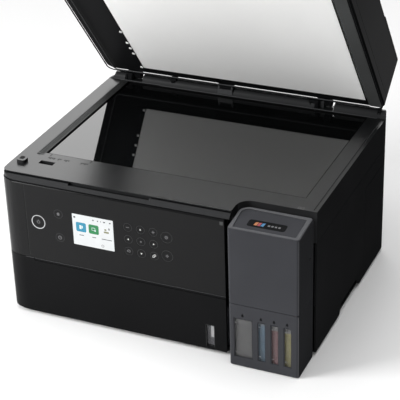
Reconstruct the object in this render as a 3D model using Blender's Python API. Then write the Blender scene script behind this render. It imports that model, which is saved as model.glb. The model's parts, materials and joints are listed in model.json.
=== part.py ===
"""Ink-tank inkjet printer with scanner and sheet feeder, lid open. Metres, +Z up, front faces -Y.

The design frame has x = 0 at the middle of the width, y = 0 at the control panel's front face
and z = 0 at the surface the printer stands on. One root empty then moves the whole printer so
that its box is centred over the world origin.
"""
import math

import bmesh
import bpy
from mathutils import Vector

MM = 0.001

# Overall sizes
BODY_WIDTH = 375 * MM
BODY_DEPTH = 300 * MM          # control panel face to rear face
DECK_HEIGHT = 186.5 * MM       # scanner deck above the surface
SEAM_HEIGHT = 147.5 * MM       # seam between scanner unit and base
PANEL_FOOT = 79.5 * MM         # seam between control panel and paper cassette
LEDGE_DROP = 8.5 * MM          # control panel's top below the deck
LEDGE_DEPTH = 16.3 * MM
BASE_LIFT = 4.5 * MM           # base floor above the surface
WALL = 2.5 * MM
FIT = 0.3 * MM                 # between pieces that touch
SEAM = 0.6 * MM                # visible gap between covers
REAR_RADIUS = 14 * MM
CORNER_RUN = 24 * MM           # rounded front corner, along x
CORNER_SET = 12 * MM           # rounded front corner, along y

# Tank unit
TANK_OUT = 14 * MM             # in front of the control panel
TANK_REAR = 33 * MM
TANK_INSET = 2.3 * MM          # in from the body's right side
TANK_SEAM = 82 * MM
TANK_FRONT_TOP = 176.7 * MM
TANK_REAR_TOP = 180.5 * MM
TANK_FOOT = 1 * MM
TANK_GAP = 3 * MM              # to the deck around it
TANK_ROUND = 12 * MM
TANK_EDGE = 3.5 * MM
HOOD_PIVOT = 4.2 * MM          # hood axis in from its rear and top faces
PANEL_TO_TANK = 8.8 * MM
FIRST_TANK_WIDTH = 26 * MM
TANK_SLOT_WIDTH = 13 * MM
TANK_SPACE = 2.4 * MM            # between neighbouring ink tanks
TANK_MARGIN = 4.2 * MM
TANK_PITCH = TANK_SLOT_WIDTH + TANK_SPACE
TANK_WIDTH = 2 * TANK_MARGIN + FIRST_TANK_WIDTH + 3 * TANK_PITCH + TANK_SPACE
TANK_TOP = 96 * MM
WINDOW_FOOT = 12.5 * MM
WINDOW_TOP = 64 * MM
WINDOW_INSET = 2 * MM
NECK_RADIUS = 4.2 * MM
NECK_LENGTH = 8 * MM
CAP_WALL = 1.6 * MM
CAP_TOP = 5 * MM
BUTTON_SIDES = 24

# Scanner unit
DECK_PLATE = 4 * MM
BROW_FRONT = 7 * MM            # deck's front edge behind the panel's face
BROW_SET = 1 * MM              # foot of the sloped brow under it
BROW_EDGE = 0.9 * MM           # deck's edge above the shadow groove
BROW_GROOVE = 1.6 * MM
GROOVE_DEPTH = 2.5 * MM
BROW_CORNER = 8 * MM
DECK_LIP = 1.3 * MM            # deck lip over the glass's border
GLASS_LEFT = 28.5 * MM         # from the left side
GLASS_WIDTH = 324.5 * MM
GLASS_FRONT = 62 * MM
GLASS_REAR_MARGIN = 16.5 * MM  # from the rear face
GLASS_BORDER = 5.5 * MM
GLASS_THICK = 3 * MM
RAIL_RADIUS = 7 * MM
BUMPER_SIZE = 11 * MM
BUMPER_HEIGHT = 3.9 * MM
CIS_WIDTH = 20 * MM
GUIDE_RIB = 6 * MM
SCANNER_AXIS_IN = 6 * MM       # scanner hinge axis in from the rear face
SCANNER_AXIS_UP = 4 * MM       # above the seam

# Lid with sheet feeder
LID_OPEN = math.radians(52.3)
LID_AXIS_IN = 5 * MM           # lid axis in from the rear face
LID_AXIS_UP = 6 * MM           # above the deck
LID_GAP = 4.4 * MM             # closed lid above the deck
LID_THICK = 63.8 * MM
LID_FRONT = 20 * MM
LID_REAR_IN = 17.8 * MM        # closed lid's rear face in from the body's rear face
LID_CORNER = 10 * MM
LID_BASE_THICK = 9 * MM
HINGE_LEFT = 30 * MM           # middle of each lid hinge in from its side
HINGE_RIGHT = 84.5 * MM
EAR_RADIUS = 5 * MM
SKIRT_THICK = 2 * MM           # flange of the lid that covers its hinges
PIN_RADIUS = 2 * MM
MAT_LEFT = 57 * MM
MAT_RIGHT = 21.5 * MM
MAT_FRONT = 15 * MM
MAT_REAR = 17 * MM
MAT_PROUD = 3 * MM
MAT_THICK = 6.2 * MM
COVER_WIDTH = 118 * MM
COVER_DROP = 18.7 * MM         # feeder cover's lower edge below the lid's top
COVER_PIVOT = 4 * MM
TRAY_THICK = 4.4 * MM
FEEDER_WALL = 3 * MM

# Control panel
PANEL_WALL = 3 * MM
PANEL_PIVOT = 3.3 * MM         # panel axis in from its top and front faces
FOOT_RISE = 1.1 * MM           # rise of the panel's underside towards the back, for its tilt
BUTTON_RADIUS = 5.4 * MM
BIG_BUTTON_RADIUS = 7.2 * MM
POWER_RADIUS = 8 * MM
BUTTON_GAP = 0.3 * MM
BUTTON_FLANGE = 0.9 * MM
BUTTON_DEPTH = 6 * MM
BUTTON_COLUMN = 15.8 * MM
BUTTON_ROW = 15.4 * MM
BUTTONS_FROM_END = 102.2 * MM  # middle column from the panel's right end
BUTTONS_UP = 50 * MM           # middle row above the panel's foot
POWER_FROM_SIDE = 47.5 * MM
SCREEN_WIDTH = 52 * MM
SCREEN_HEIGHT = 40 * MM
SCREEN_FROM_END = 162.5 * MM
SCREEN_THICK = 1.7 * MM
RECESS_FROM_END = 90 * MM      # finger recess in the brow, right end
RECESS_WIDTH = 103 * MM
RECESS_FRONT = 4 * MM
RECESS_FOOT = 181.5 * MM

# Paper path and print engine
PAPER_WIDTH = 216 * MM
CASSETTE_DEPTH = 262 * MM
CASSETTE_WALL = 2 * MM
CASSETTE_TOP = 60 * MM
CASSETTE_MARGIN = 3.5 * MM
OUT_TRAY_LIP = 3.1 * MM
OUT_TRAY_DEPTH = 150 * MM
OUT_TRAY_PLATE = 2.2 * MM
GUIDE_HEIGHT = 38 * MM
GUIDE_LENGTH = 80 * MM
GUIDE_FOOT = 18 * MM
EXIT_HEIGHT = 42 * MM
ROLLER_RADIUS = 6 * MM
ROLLER_SPACE = 3 * MM             # rollers to the platen between them
ROLLER_HEIGHT = PANEL_FOOT + 0.5 * MM + ROLLER_RADIUS
FEED_ROLLER_Y = 160 * MM
EXIT_ROLLER_Y = 94 * MM
GEAR_RADIUS = 13 * MM
RAIL_Y = 170 * MM
RAIL_FOOT = 100 * MM
RAIL_TOP = 130 * MM
RAIL_FLANGE = 20 * MM
RAIL_SHEET = 3 * MM
CARRIAGE_WIDTH = 70 * MM
CARRIAGE_DEPTH = 50 * MM
CARRIAGE_FOOT = ROLLER_HEIGHT + ROLLER_RADIUS + 2 * MM
CARRIAGE_TOP = 138 * MM
PULLEY_RADIUS = 7 * MM
BELT_THICK = 1 * MM
BELT_WIDTH = 6 * MM
REAR_COVER_WIDTH = 200 * MM
REAR_COVER_HEIGHT = 80 * MM
REAR_COVER_FOOT = 40 * MM
SIDE_SPLIT = 88 * MM           # maintenance cover's front edge from the rear face
SIDE_SPLIT_TOP = 21 * MM       # its top edge below the seam
GRIP_FRONT = 120 * MM          # hand grips cut in the side panels' lower edge
GRIP_LENGTH = 75 * MM
GRIP_HEIGHT = 12.5 * MM

# Fittings
INLET_FROM_PANEL = 15 * MM       # power inlet from the control panel's right end
INLET_WIDTH = 28 * MM
INLET_FOOT = 40 * MM
INLET_HEIGHT = 22 * MM
INLET_DEPTH = 19 * MM
FOOT_RADIUS = 8 * MM
FOOT_IN = 22 * MM                # feet in from the sides
FOOT_FRONT = 18 * MM             # behind the tank unit's bay
FOOT_REAR = 24 * MM              # in from the rear face
SUPPLY_FRONT = 178 * MM
SUPPLY_WIDTH = 47 * MM
SUPPLY_TOP = 90 * MM
LEVEL_FROM_END = 25 * MM         # paper level window from the cassette front's right end
LEVEL_WIDTH = 9.5 * MM
LEVEL_FOOT = 3.5 * MM            # above the base floor
LEVEL_HEIGHT = 28.5 * MM
LIP_FROM_CORNER = 14 * MM        # output tray's lip from the rounded corner
CUTOUT_X = (-45 * MM, 9 * MM)    # finger cut-out in the output tray
CUTOUT_Y = (60 * MM, 130 * MM)
GUIDE_FRONT = 100 * MM
SHAFT_RADIUS = 3 * MM
GEAR_IN = 4 * MM                 # gear from the shaft's left end
GEAR_WIDTH = 5 * MM
BELT_IN = 27 * MM                # belt wheels in from the sides
BELT_RISE = 12 * MM              # belt's middle above the rail's foot
MOTOR_RADIUS = 14 * MM
MOTOR_LENGTH = 30 * MM
CARRIAGE_IN = 12.5 * MM          # parked print carriage in from the right side
PIVOT_RADIUS = 1.5 * MM          # scanner hinge pins
SLOT_X = (33 * MM, 51.5 * MM)    # slot in the deck, from the left side
SLOT_Y = (35 * MM, 43 * MM)
BUMPER_IN = 7.5 * MM
BUMPER_BACK = 8 * MM             # bumper behind the closed lid's front edge
POST_LEFT = 6 * MM               # lid hinge post about the hinge's middle
POST_RIGHT = 4 * MM
EAR_NEAR = 5 * MM                # lid ear beside it
EAR_FAR = 13 * MM
FEED_ROLLER_IN = 70 * MM         # sheet feeder's roller from the left side
FEED_ROLLER_UP = 14 * MM
FEED_ROLLER_RADIUS = 8 * MM
FEED_ROLLER_HALF = 45 * MM

HALF = BODY_WIDTH / 2
LEFT = -HALF
RIGHT = HALF
LEDGE = DECK_HEIGHT - LEDGE_DROP
TANK_RIGHT = RIGHT - TANK_INSET
TANK_LEFT = TANK_RIGHT - TANK_WIDTH
PANEL_END = TANK_LEFT - PANEL_TO_TANK
BASE_TOP = SEAM_HEIGHT - FIT
SCANNER_FOOT = SEAM_HEIGHT + FIT
DECK_FRONT = LEDGE_DEPTH + SEAM
NOTCH_X = TANK_LEFT - TANK_GAP
NOTCH_Y = TANK_REAR + TANK_GAP
LID_AXIS = Vector((0, BODY_DEPTH - LID_AXIS_IN, DECK_HEIGHT + LID_AXIS_UP))
LID_FOOT = DECK_HEIGHT + LID_GAP
LID_TOP = LID_FOOT + LID_THICK
LID_REAR = BODY_DEPTH - LID_REAR_IN
LID_EDGES = (LEFT, RIGHT, LID_FRONT, LID_REAR)
HINGES = (LEFT + HINGE_LEFT, RIGHT - HINGE_RIGHT)
COVER_END = LEFT + COVER_WIDTH
COVER_FOOT = LID_TOP - COVER_DROP
TRAY_FOOT = LID_TOP - TRAY_THICK
PAPER_RIGHT = PANEL_END - CASSETTE_MARGIN
PAPER_LEFT = PAPER_RIGHT - PAPER_WIDTH
GLASS_X = (LEFT + GLASS_LEFT, LEFT + GLASS_LEFT + GLASS_WIDTH)
GLASS_Y = (GLASS_FRONT, BODY_DEPTH - GLASS_REAR_MARGIN)
FRONT_TOP = PANEL_FOOT - FIT
TRAY_TOP = FRONT_TOP
TRAY_LIP_FOOT = TRAY_TOP - OUT_TRAY_LIP

# The open lid's upper rear edge reaches furthest back, the tank unit furthest forward
REAR_REACH = (LID_AXIS.y + (LID_REAR - LID_AXIS.y) * math.cos(LID_OPEN)
              + (LID_TOP - LID_AXIS.z) * math.sin(LID_OPEN))
CENTRE = Vector((0, (REAR_REACH - TANK_OUT) / 2, 0))

FINISHES = {
    "black_case": ((0.022, 0.023, 0.025), 0.45, 0.0),
    "deck_grey": ((0.055, 0.057, 0.060), 0.40, 0.0),
    "panel_gloss": ((0.012, 0.012, 0.013), 0.18, 0.0),
    "tank_smoke": ((0.060, 0.062, 0.070), 0.25, 0.0),
    "screen": ((0.80, 0.84, 0.88), 0.15, 0.0),
    "glass": ((0.020, 0.022, 0.024), 0.04, 0.0),
    "white_mat": ((0.80, 0.80, 0.80), 0.55, 0.0),
    "inner_grey": ((0.12, 0.12, 0.13), 0.55, 0.0),
    "steel": ((0.55, 0.56, 0.58), 0.35, 1.0),
    "rubber": ((0.020, 0.020, 0.020), 0.85, 0.0),
    "ink_black": ((0.010, 0.010, 0.012), 0.30, 0.0),
    "ink_cyan": ((0.02, 0.30, 0.45), 0.30, 0.0),
    "ink_magenta": ((0.45, 0.03, 0.18), 0.30, 0.0),
    "ink_yellow": ((0.60, 0.48, 0.03), 0.30, 0.0),
}


def clear_scene():
    for obj in list(bpy.data.objects):
        bpy.data.objects.remove(obj, do_unlink=True)


def material(name):
    """Principled material from the table of finishes, made once."""
    found = bpy.data.materials.get(name)
    if found:
        return found
    colour, roughness, metallic = FINISHES[name]
    made = bpy.data.materials.new(name)
    made.use_nodes = True
    shader = made.node_tree.nodes["Principled BSDF"]
    shader.inputs["Base Color"].default_value = (*colour, 1)
    shader.inputs["Roughness"].default_value = roughness
    shader.inputs["Metallic"].default_value = metallic
    made.diffuse_color = (*colour, 1)
    return made


def arc(centre, radius, start, end, steps=6):
    """Points along an arc, angles in degrees."""
    points = []
    for step in range(steps + 1):
        angle = math.radians(start + (end - start) * step / steps)
        points.append((centre[0] + radius * math.cos(angle), centre[1] + radius * math.sin(angle)))
    return points


def rounded_rect(x0, x1, y0, y1, radii, steps=5):
    """Outline with corner radii in the order front-left, front-right, rear-right, rear-left."""
    corners = ((x0, y0, 180), (x1, y0, 270), (x1, y1, 0), (x0, y1, 90))
    points = []
    for (x, y, start), radius in zip(corners, radii):
        if radius <= 0:
            points.append((x, y))
            continue
        centre = (x + (radius if x == x0 else -radius), y + (radius if y == y0 else -radius))
        points += arc(centre, radius, start, start + 90, steps)
    return points


class Shape:
    """Closed bodies gathered in one mesh, in the design frame."""

    AXES = {"x": (1, 2, 0), "y": (0, 2, 1), "z": (0, 1, 2)}

    def __init__(self):
        self.bm = bmesh.new()

    def prism(self, axis, outline, low, high):
        """Outline given in the two other axes, extruded along the named axis."""
        first, second, along = self.AXES[axis]
        verts = []
        for a, b in outline:
            place = [0, 0, 0]
            place[first], place[second], place[along] = a, b, low
            verts.append(self.bm.verts.new(place))
        face = self.bm.faces.new(verts)
        made = bmesh.ops.extrude_face_region(self.bm, geom=[face])
        moved = [item for item in made["geom"] if isinstance(item, bmesh.types.BMVert)]
        offset = Vector((0, 0, 0))
        offset[along] = high - low
        bmesh.ops.translate(self.bm, verts=moved, vec=offset)
        return self

    def box(self, x, y, z):
        return self.prism("z", ((x[0], y[0]), (x[1], y[0]), (x[1], y[1]), (x[0], y[1])), *z)

    def round(self, axis, centre, radius, low, high, sides=BUTTON_SIDES):
        outline = arc(centre, radius, 0, 360 - 360 / sides, sides - 1)
        return self.prism(axis, outline, low, high)

    def mesh(self, name, origin):
        bmesh.ops.translate(self.bm, verts=self.bm.verts, vec=-origin)
        bmesh.ops.recalc_face_normals(self.bm, faces=self.bm.faces)
        data = bpy.data.meshes.new(name)
        self.bm.to_mesh(data)
        self.bm.free()
        return data


FRAMES = {}


def frame(name, parent=None, origin=(0, 0, 0), tilt=0.0):
    """Empty on a joint's axis; what hangs on it is drawn in the design frame at tilt zero."""
    empty = bpy.data.objects.new(f"{name}_axis", None)
    empty.empty_display_size = 0.03
    bpy.context.collection.objects.link(empty)
    origin = Vector(origin)
    if parent:
        empty.parent = FRAMES[parent][0]
        empty.location = origin - FRAMES[parent][1]
    else:
        empty.location = origin - CENTRE
    empty.rotation_euler = (tilt, 0, 0)
    FRAMES[name] = (empty, origin)


def hang(name, shape, where, origin):
    """Object under a frame, with its origin at a point of the design frame."""
    parent, parent_origin = FRAMES[where]
    origin = Vector(origin) if origin is not None else parent_origin
    obj = bpy.data.objects.new(name, shape.mesh(name, origin))
    bpy.context.collection.objects.link(obj)
    obj.parent = parent
    obj.location = origin - parent_origin
    return obj


def piece(name, shape, finish, where="body", origin=None):
    obj = hang(name, shape, where, origin)
    obj.data.materials.append(material(finish))
    obj["frame"] = where
    obj["origin"] = Vector(origin) if origin is not None else FRAMES[where][1]
    return obj


def change(obj, shape, operation):
    """Boolean with a hidden helper body drawn in the same frame."""
    tool = hang(f"tool_{obj.name}_{len(obj.modifiers)}", shape, obj["frame"], obj["origin"])
    tool.hide_render = True
    tool.display_type = "WIRE"
    step = obj.modifiers.new(operation.lower(), "BOOLEAN")
    step.operation = operation
    step.solver = "EXACT"
    step.object = tool
    return obj


def cut(obj, shape):
    return change(obj, shape, "DIFFERENCE")


def fuse(obj, shape):
    return change(obj, shape, "UNION")


def finish_surfaces():
    for obj in bpy.data.objects:
        if obj.type == "MESH":
            obj.data.shade_smooth()
            obj.data.set_sharp_from_angle(angle=math.radians(32))
            for key in ("frame", "origin"):
                if key in obj:
                    del obj[key]


def front_outline(inset, rear, end):
    """Plan of the front covers: flat face, rounded left corner, open to the rear."""
    run = CORNER_RUN - inset
    rise = CORNER_SET - inset
    points = [(end, inset), (LEFT + CORNER_RUN, inset)]
    for step in range(1, 7):
        angle = math.radians(90 * step / 6)
        points.append((LEFT + CORNER_RUN - run * math.sin(angle), CORNER_SET - rise * math.cos(angle)))
    return points + [(LEFT + inset, rear), (end, rear)]


def deck_outline(inset):
    """Plan of the scanner unit: rounded rear corners and a notch round the tank unit."""
    left, right, front, rear = LEFT + inset, RIGHT - inset, DECK_FRONT + inset, BODY_DEPTH - inset
    corner = 4 * MM - min(inset, 3 * MM)
    notch = TANK_ROUND + TANK_GAP + inset
    bend = (TANK_LEFT + TANK_ROUND, TANK_REAR - TANK_ROUND)
    points = arc((left + corner, front + corner), corner, 180, 270, 3)
    points += arc((NOTCH_X - inset - corner, front + corner), corner, 270, 360, 3)
    points += arc(bend, notch, 180, 90, 6)
    points += [(right, NOTCH_Y + inset)]
    points += arc((right - REAR_RADIUS + inset, rear - REAR_RADIUS + inset), REAR_RADIUS - inset, 0, 90, 6)
    points += arc((left + REAR_RADIUS - inset, rear - REAR_RADIUS + inset), REAR_RADIUS - inset, 90, 180, 6)
    return points


def side_outline(front, reach):
    """Plan of the right side panel, which turns the rear corner; reach is its end along x."""
    rear, radius = BODY_DEPTH, REAR_RADIUS
    centre = (RIGHT - radius, rear - radius)
    outer = [(RIGHT, front)] + arc(centre, radius, 0, 90, 6) + [(reach, rear)]
    inner = [(reach, rear - WALL)] + arc(centre, radius - WALL, 90, 0, 6) + [(RIGHT - WALL, front)]
    return outer + inner


def mirrored(outline):
    return [(-x, y) for x, y in outline]


def side_grip(side):
    """Sloped hand grip under a side panel."""
    low, high = (RIGHT - WALL - FIT, RIGHT + FIT) if side > 0 else (LEFT - FIT, LEFT + WALL + FIT)
    top = BASE_LIFT + GRIP_HEIGHT
    slope = 6 * MM
    points = ((GRIP_FRONT, BASE_LIFT - FIT), (GRIP_FRONT + GRIP_LENGTH, BASE_LIFT - FIT),
              (GRIP_FRONT + GRIP_LENGTH - 2 * slope, top), (GRIP_FRONT + slope, top))
    return Shape().prism("x", points, low, high)


def make_base():
    inside = HALF - WALL - FIT
    rear_inside = BODY_DEPTH - REAR_RADIUS
    floor = (BASE_LIFT, BASE_LIFT + WALL)
    split_y = BODY_DEPTH - SIDE_SPLIT
    split_z = SEAM_HEIGHT - SIDE_SPLIT_TOP
    wall_end = RIGHT - 2 * REAR_RADIUS - 10 * MM
    inlet_x = (PANEL_END + INLET_FROM_PANEL, PANEL_END + INLET_FROM_PANEL + INLET_WIDTH)
    inlet_z = (INLET_FOOT, INLET_FOOT + INLET_HEIGHT)
    cover_x = (PAPER_LEFT + 8 * MM, PAPER_LEFT + 8 * MM + REAR_COVER_WIDTH)
    cover_z = (REAR_COVER_FOOT, REAR_COVER_FOOT + REAR_COVER_HEIGHT)

    tray = piece("base_tray", Shape().box((-inside, inside), (DECK_FRONT, rear_inside), floor), "black_case")
    fuse(tray, Shape().box((LEFT + REAR_RADIUS + FIT, wall_end - FIT), (rear_inside - FIT, BODY_DEPTH), floor))
    fuse(tray, Shape().box((LEFT + REAR_RADIUS + FIT, wall_end - FIT), (BODY_DEPTH - WALL, BODY_DEPTH),
                           (BASE_LIFT, BASE_TOP)))
    cut(tray, Shape().box((PANEL_END, RIGHT), (0, NOTCH_Y + FIT), (0, BASE_LIFT + 2 * WALL)))
    cut(tray, Shape().box(cover_x, (BODY_DEPTH - 2 * WALL, BODY_DEPTH + WALL), cover_z))
    cut(tray, Shape().box(inlet_x, (BODY_DEPTH - 2 * WALL, BODY_DEPTH + WALL), inlet_z))

    rear = piece("rear_cover", Shape().box(
        (cover_x[0] + SEAM, cover_x[1] - SEAM), (BODY_DEPTH - WALL, BODY_DEPTH),
        (cover_z[0] + SEAM, cover_z[1] - SEAM)), "black_case", "rear_cover")
    middle = (cover_x[0] + cover_x[1]) / 2
    for side in (-1, 1):
        grip = middle + side * REAR_COVER_WIDTH / 3
        cut(rear, Shape().box((grip - 11 * MM, grip + 11 * MM), (BODY_DEPTH - 1.2 * MM, BODY_DEPTH + MM),
                              (cover_z[0] + 30 * MM, cover_z[0] + 50 * MM)))

    left = piece("left_side_panel", Shape().prism(
        "z", mirrored(side_outline(DECK_FRONT, RIGHT - REAR_RADIUS)), BASE_LIFT, BASE_TOP), "black_case")
    cut(left, side_grip(-1))

    right = piece("right_side_panel", Shape().prism(
        "z", side_outline(NOTCH_Y, wall_end), BASE_LIFT, BASE_TOP), "black_case")
    cut(right, Shape().box((wall_end - MM, RIGHT + MM), (split_y - SEAM, BODY_DEPTH + MM), (0, split_z + SEAM)))
    cut(right, side_grip(1))
    cover = piece("maintenance_cover", Shape().prism(
        "z", side_outline(split_y, wall_end), BASE_LIFT, split_z), "black_case")
    cut(cover, side_grip(1))

    frame_x = (-HALF + WALL + FIT, HALF - WALL - FIT)
    ring = piece("upper_frame", Shape().box(
        frame_x, (DECK_FRONT, BODY_DEPTH - WALL - FIT), (BASE_TOP - WALL, BASE_TOP)), "black_case")
    cut(ring, Shape().box((PAPER_LEFT - 30 * MM, PANEL_END), (60 * MM, 235 * MM), (BASE_TOP - 2 * WALL, SEAM_HEIGHT)))
    cut(ring, Shape().box((PANEL_END + 7 * MM, RIGHT), (0, NOTCH_Y + FIT), (0, SEAM_HEIGHT)))
    for side in (-1, 1):
        cut(ring, Shape().box((side * HALF - side * REAR_RADIUS, side * HALF)[::side],
                              (BODY_DEPTH - REAR_RADIUS, BODY_DEPTH), (0, SEAM_HEIGHT)))
    fuse(ring, Shape().box((frame_x[0], PANEL_END + 7 * MM), (DECK_FRONT, DECK_FRONT + WALL),
                           (PANEL_FOOT + FIT, BASE_TOP - MM)))
    cut(ring, Shape().box((PAPER_LEFT, PAPER_RIGHT), (0, DECK_FRONT + 2 * WALL),
                          (0, PANEL_FOOT + EXIT_HEIGHT)))
    hinge_y = BODY_DEPTH - SCANNER_AXIS_IN
    hinge_z = SEAM_HEIGHT + SCANNER_AXIS_UP
    for side in (-1, 1):
        lug = (side * (HALF - 40 * MM), side * (HALF - 34 * MM))[::side]
        pin = (side * (HALF - 34.5 * MM), side * (HALF - 28 * MM))[::side]
        fuse(ring, Shape().box(lug, (hinge_y - 3 * MM, hinge_y + 3 * MM), (BASE_TOP - MM, hinge_z + 3 * MM)))
        fuse(ring, Shape().round("x", (hinge_y, hinge_z), PIVOT_RADIUS, *pin, 12))

    foot_x = HALF - FOOT_IN
    for row, y in (("front", NOTCH_Y + FOOT_FRONT), ("rear", BODY_DEPTH - FOOT_REAR)):
        for name, x in (("left", -foot_x), ("right", foot_x)):
            piece(f"foot_{row}_{name}", Shape().round("z", (x, y), FOOT_RADIUS, 0, BASE_LIFT - FIT, 16), "rubber")

    supply_x = (PANEL_END + 5 * MM, PANEL_END + 5 * MM + SUPPLY_WIDTH)
    piece("power_supply", Shape().box(supply_x, (SUPPLY_FRONT, BODY_DEPTH - INLET_DEPTH - MM),
                                      (floor[1] + FIT, SUPPLY_TOP)), "inner_grey")
    inlet = piece("power_inlet", Shape().box(
        (inlet_x[0] + FIT, inlet_x[1] - FIT), (BODY_DEPTH - INLET_DEPTH, BODY_DEPTH - 0.5 * MM),
        (inlet_z[0] + FIT, inlet_z[1] - FIT)), "black_case")
    cut(inlet, Shape().prism("y", rounded_rect(inlet_x[0] + 5 * MM, inlet_x[1] - 5 * MM, inlet_z[0] + 6 * MM,
                                               inlet_z[1] - 6 * MM, [4.5 * MM] * 4, 3),
                             BODY_DEPTH - 15 * MM, BODY_DEPTH + MM))


def make_paper_path():
    front = piece("cassette_front", Shape().prism(
        "z", front_outline(0, LEDGE_DEPTH, PANEL_END), BASE_LIFT, FRONT_TOP), "black_case", "cassette")
    cut(front, Shape().prism("z", front_outline(PANEL_WALL, LEDGE_DEPTH + MM, PANEL_END + MM),
                             BASE_LIFT + PANEL_WALL, TRAY_LIP_FOOT - SEAM - PANEL_WALL))
    lip_left = LEFT + CORNER_RUN + LIP_FROM_CORNER
    cut(front, Shape().box((lip_left - SEAM, PANEL_END + MM), (-MM, LEDGE_DEPTH + MM),
                           (TRAY_LIP_FOOT - SEAM, PANEL_FOOT + MM)))
    level_foot = BASE_LIFT + LEVEL_FOOT
    cut(front, Shape().box((PANEL_END - LEVEL_FROM_END, PANEL_END - LEVEL_FROM_END + LEVEL_WIDTH),
                           (-MM, 2 * PANEL_WALL), (level_foot, level_foot + LEVEL_HEIGHT)))

    outer_x = (PAPER_LEFT - CASSETTE_WALL, PAPER_RIGHT + CASSETTE_WALL)
    start = PANEL_WALL + FIT
    floor_z = BASE_LIFT + WALL + 2 * MM
    cassette = piece("paper_cassette", Shape().box(
        outer_x, (start, CASSETTE_DEPTH), (floor_z, CASSETTE_TOP)), "inner_grey", "cassette")
    cut(cassette, Shape().box((PAPER_LEFT, PAPER_RIGHT), (start + CASSETTE_WALL, CASSETTE_DEPTH - CASSETTE_WALL),
                              (floor_z + CASSETTE_WALL, CASSETTE_TOP + MM)))

    guide_y = (GUIDE_FRONT, GUIDE_FRONT + GUIDE_LENGTH)
    foot_z = floor_z + CASSETTE_WALL + FIT
    for name, side, wall in (("edge_guide_left", 1, PAPER_LEFT), ("edge_guide_right", -1, PAPER_RIGHT)):
        near = wall + side * FIT
        outline = [(near, foot_z), (near + side * GUIDE_FOOT, foot_z),
                   (near + side * GUIDE_FOOT, foot_z + 1.5 * MM), (near + side * 2 * MM, foot_z + 1.5 * MM),
                   (near + side * 2 * MM, foot_z + GUIDE_HEIGHT), (near, foot_z + GUIDE_HEIGHT)]
        piece(name, Shape().prism("y", outline, *guide_y), "black_case", name)

    tray = piece("output_tray", Shape().box(
        (PAPER_LEFT + MM, PAPER_RIGHT), (WALL, OUT_TRAY_DEPTH),
        (TRAY_TOP - OUT_TRAY_PLATE - FIT, TRAY_TOP - FIT)), "black_case", "output_tray")
    fuse(tray, Shape().box((lip_left, PANEL_END), (0, 2 * WALL), (TRAY_LIP_FOOT, TRAY_TOP)))
    cut(tray, Shape().box(CUTOUT_X, CUTOUT_Y, (TRAY_LIP_FOOT, PANEL_FOOT)))


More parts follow.
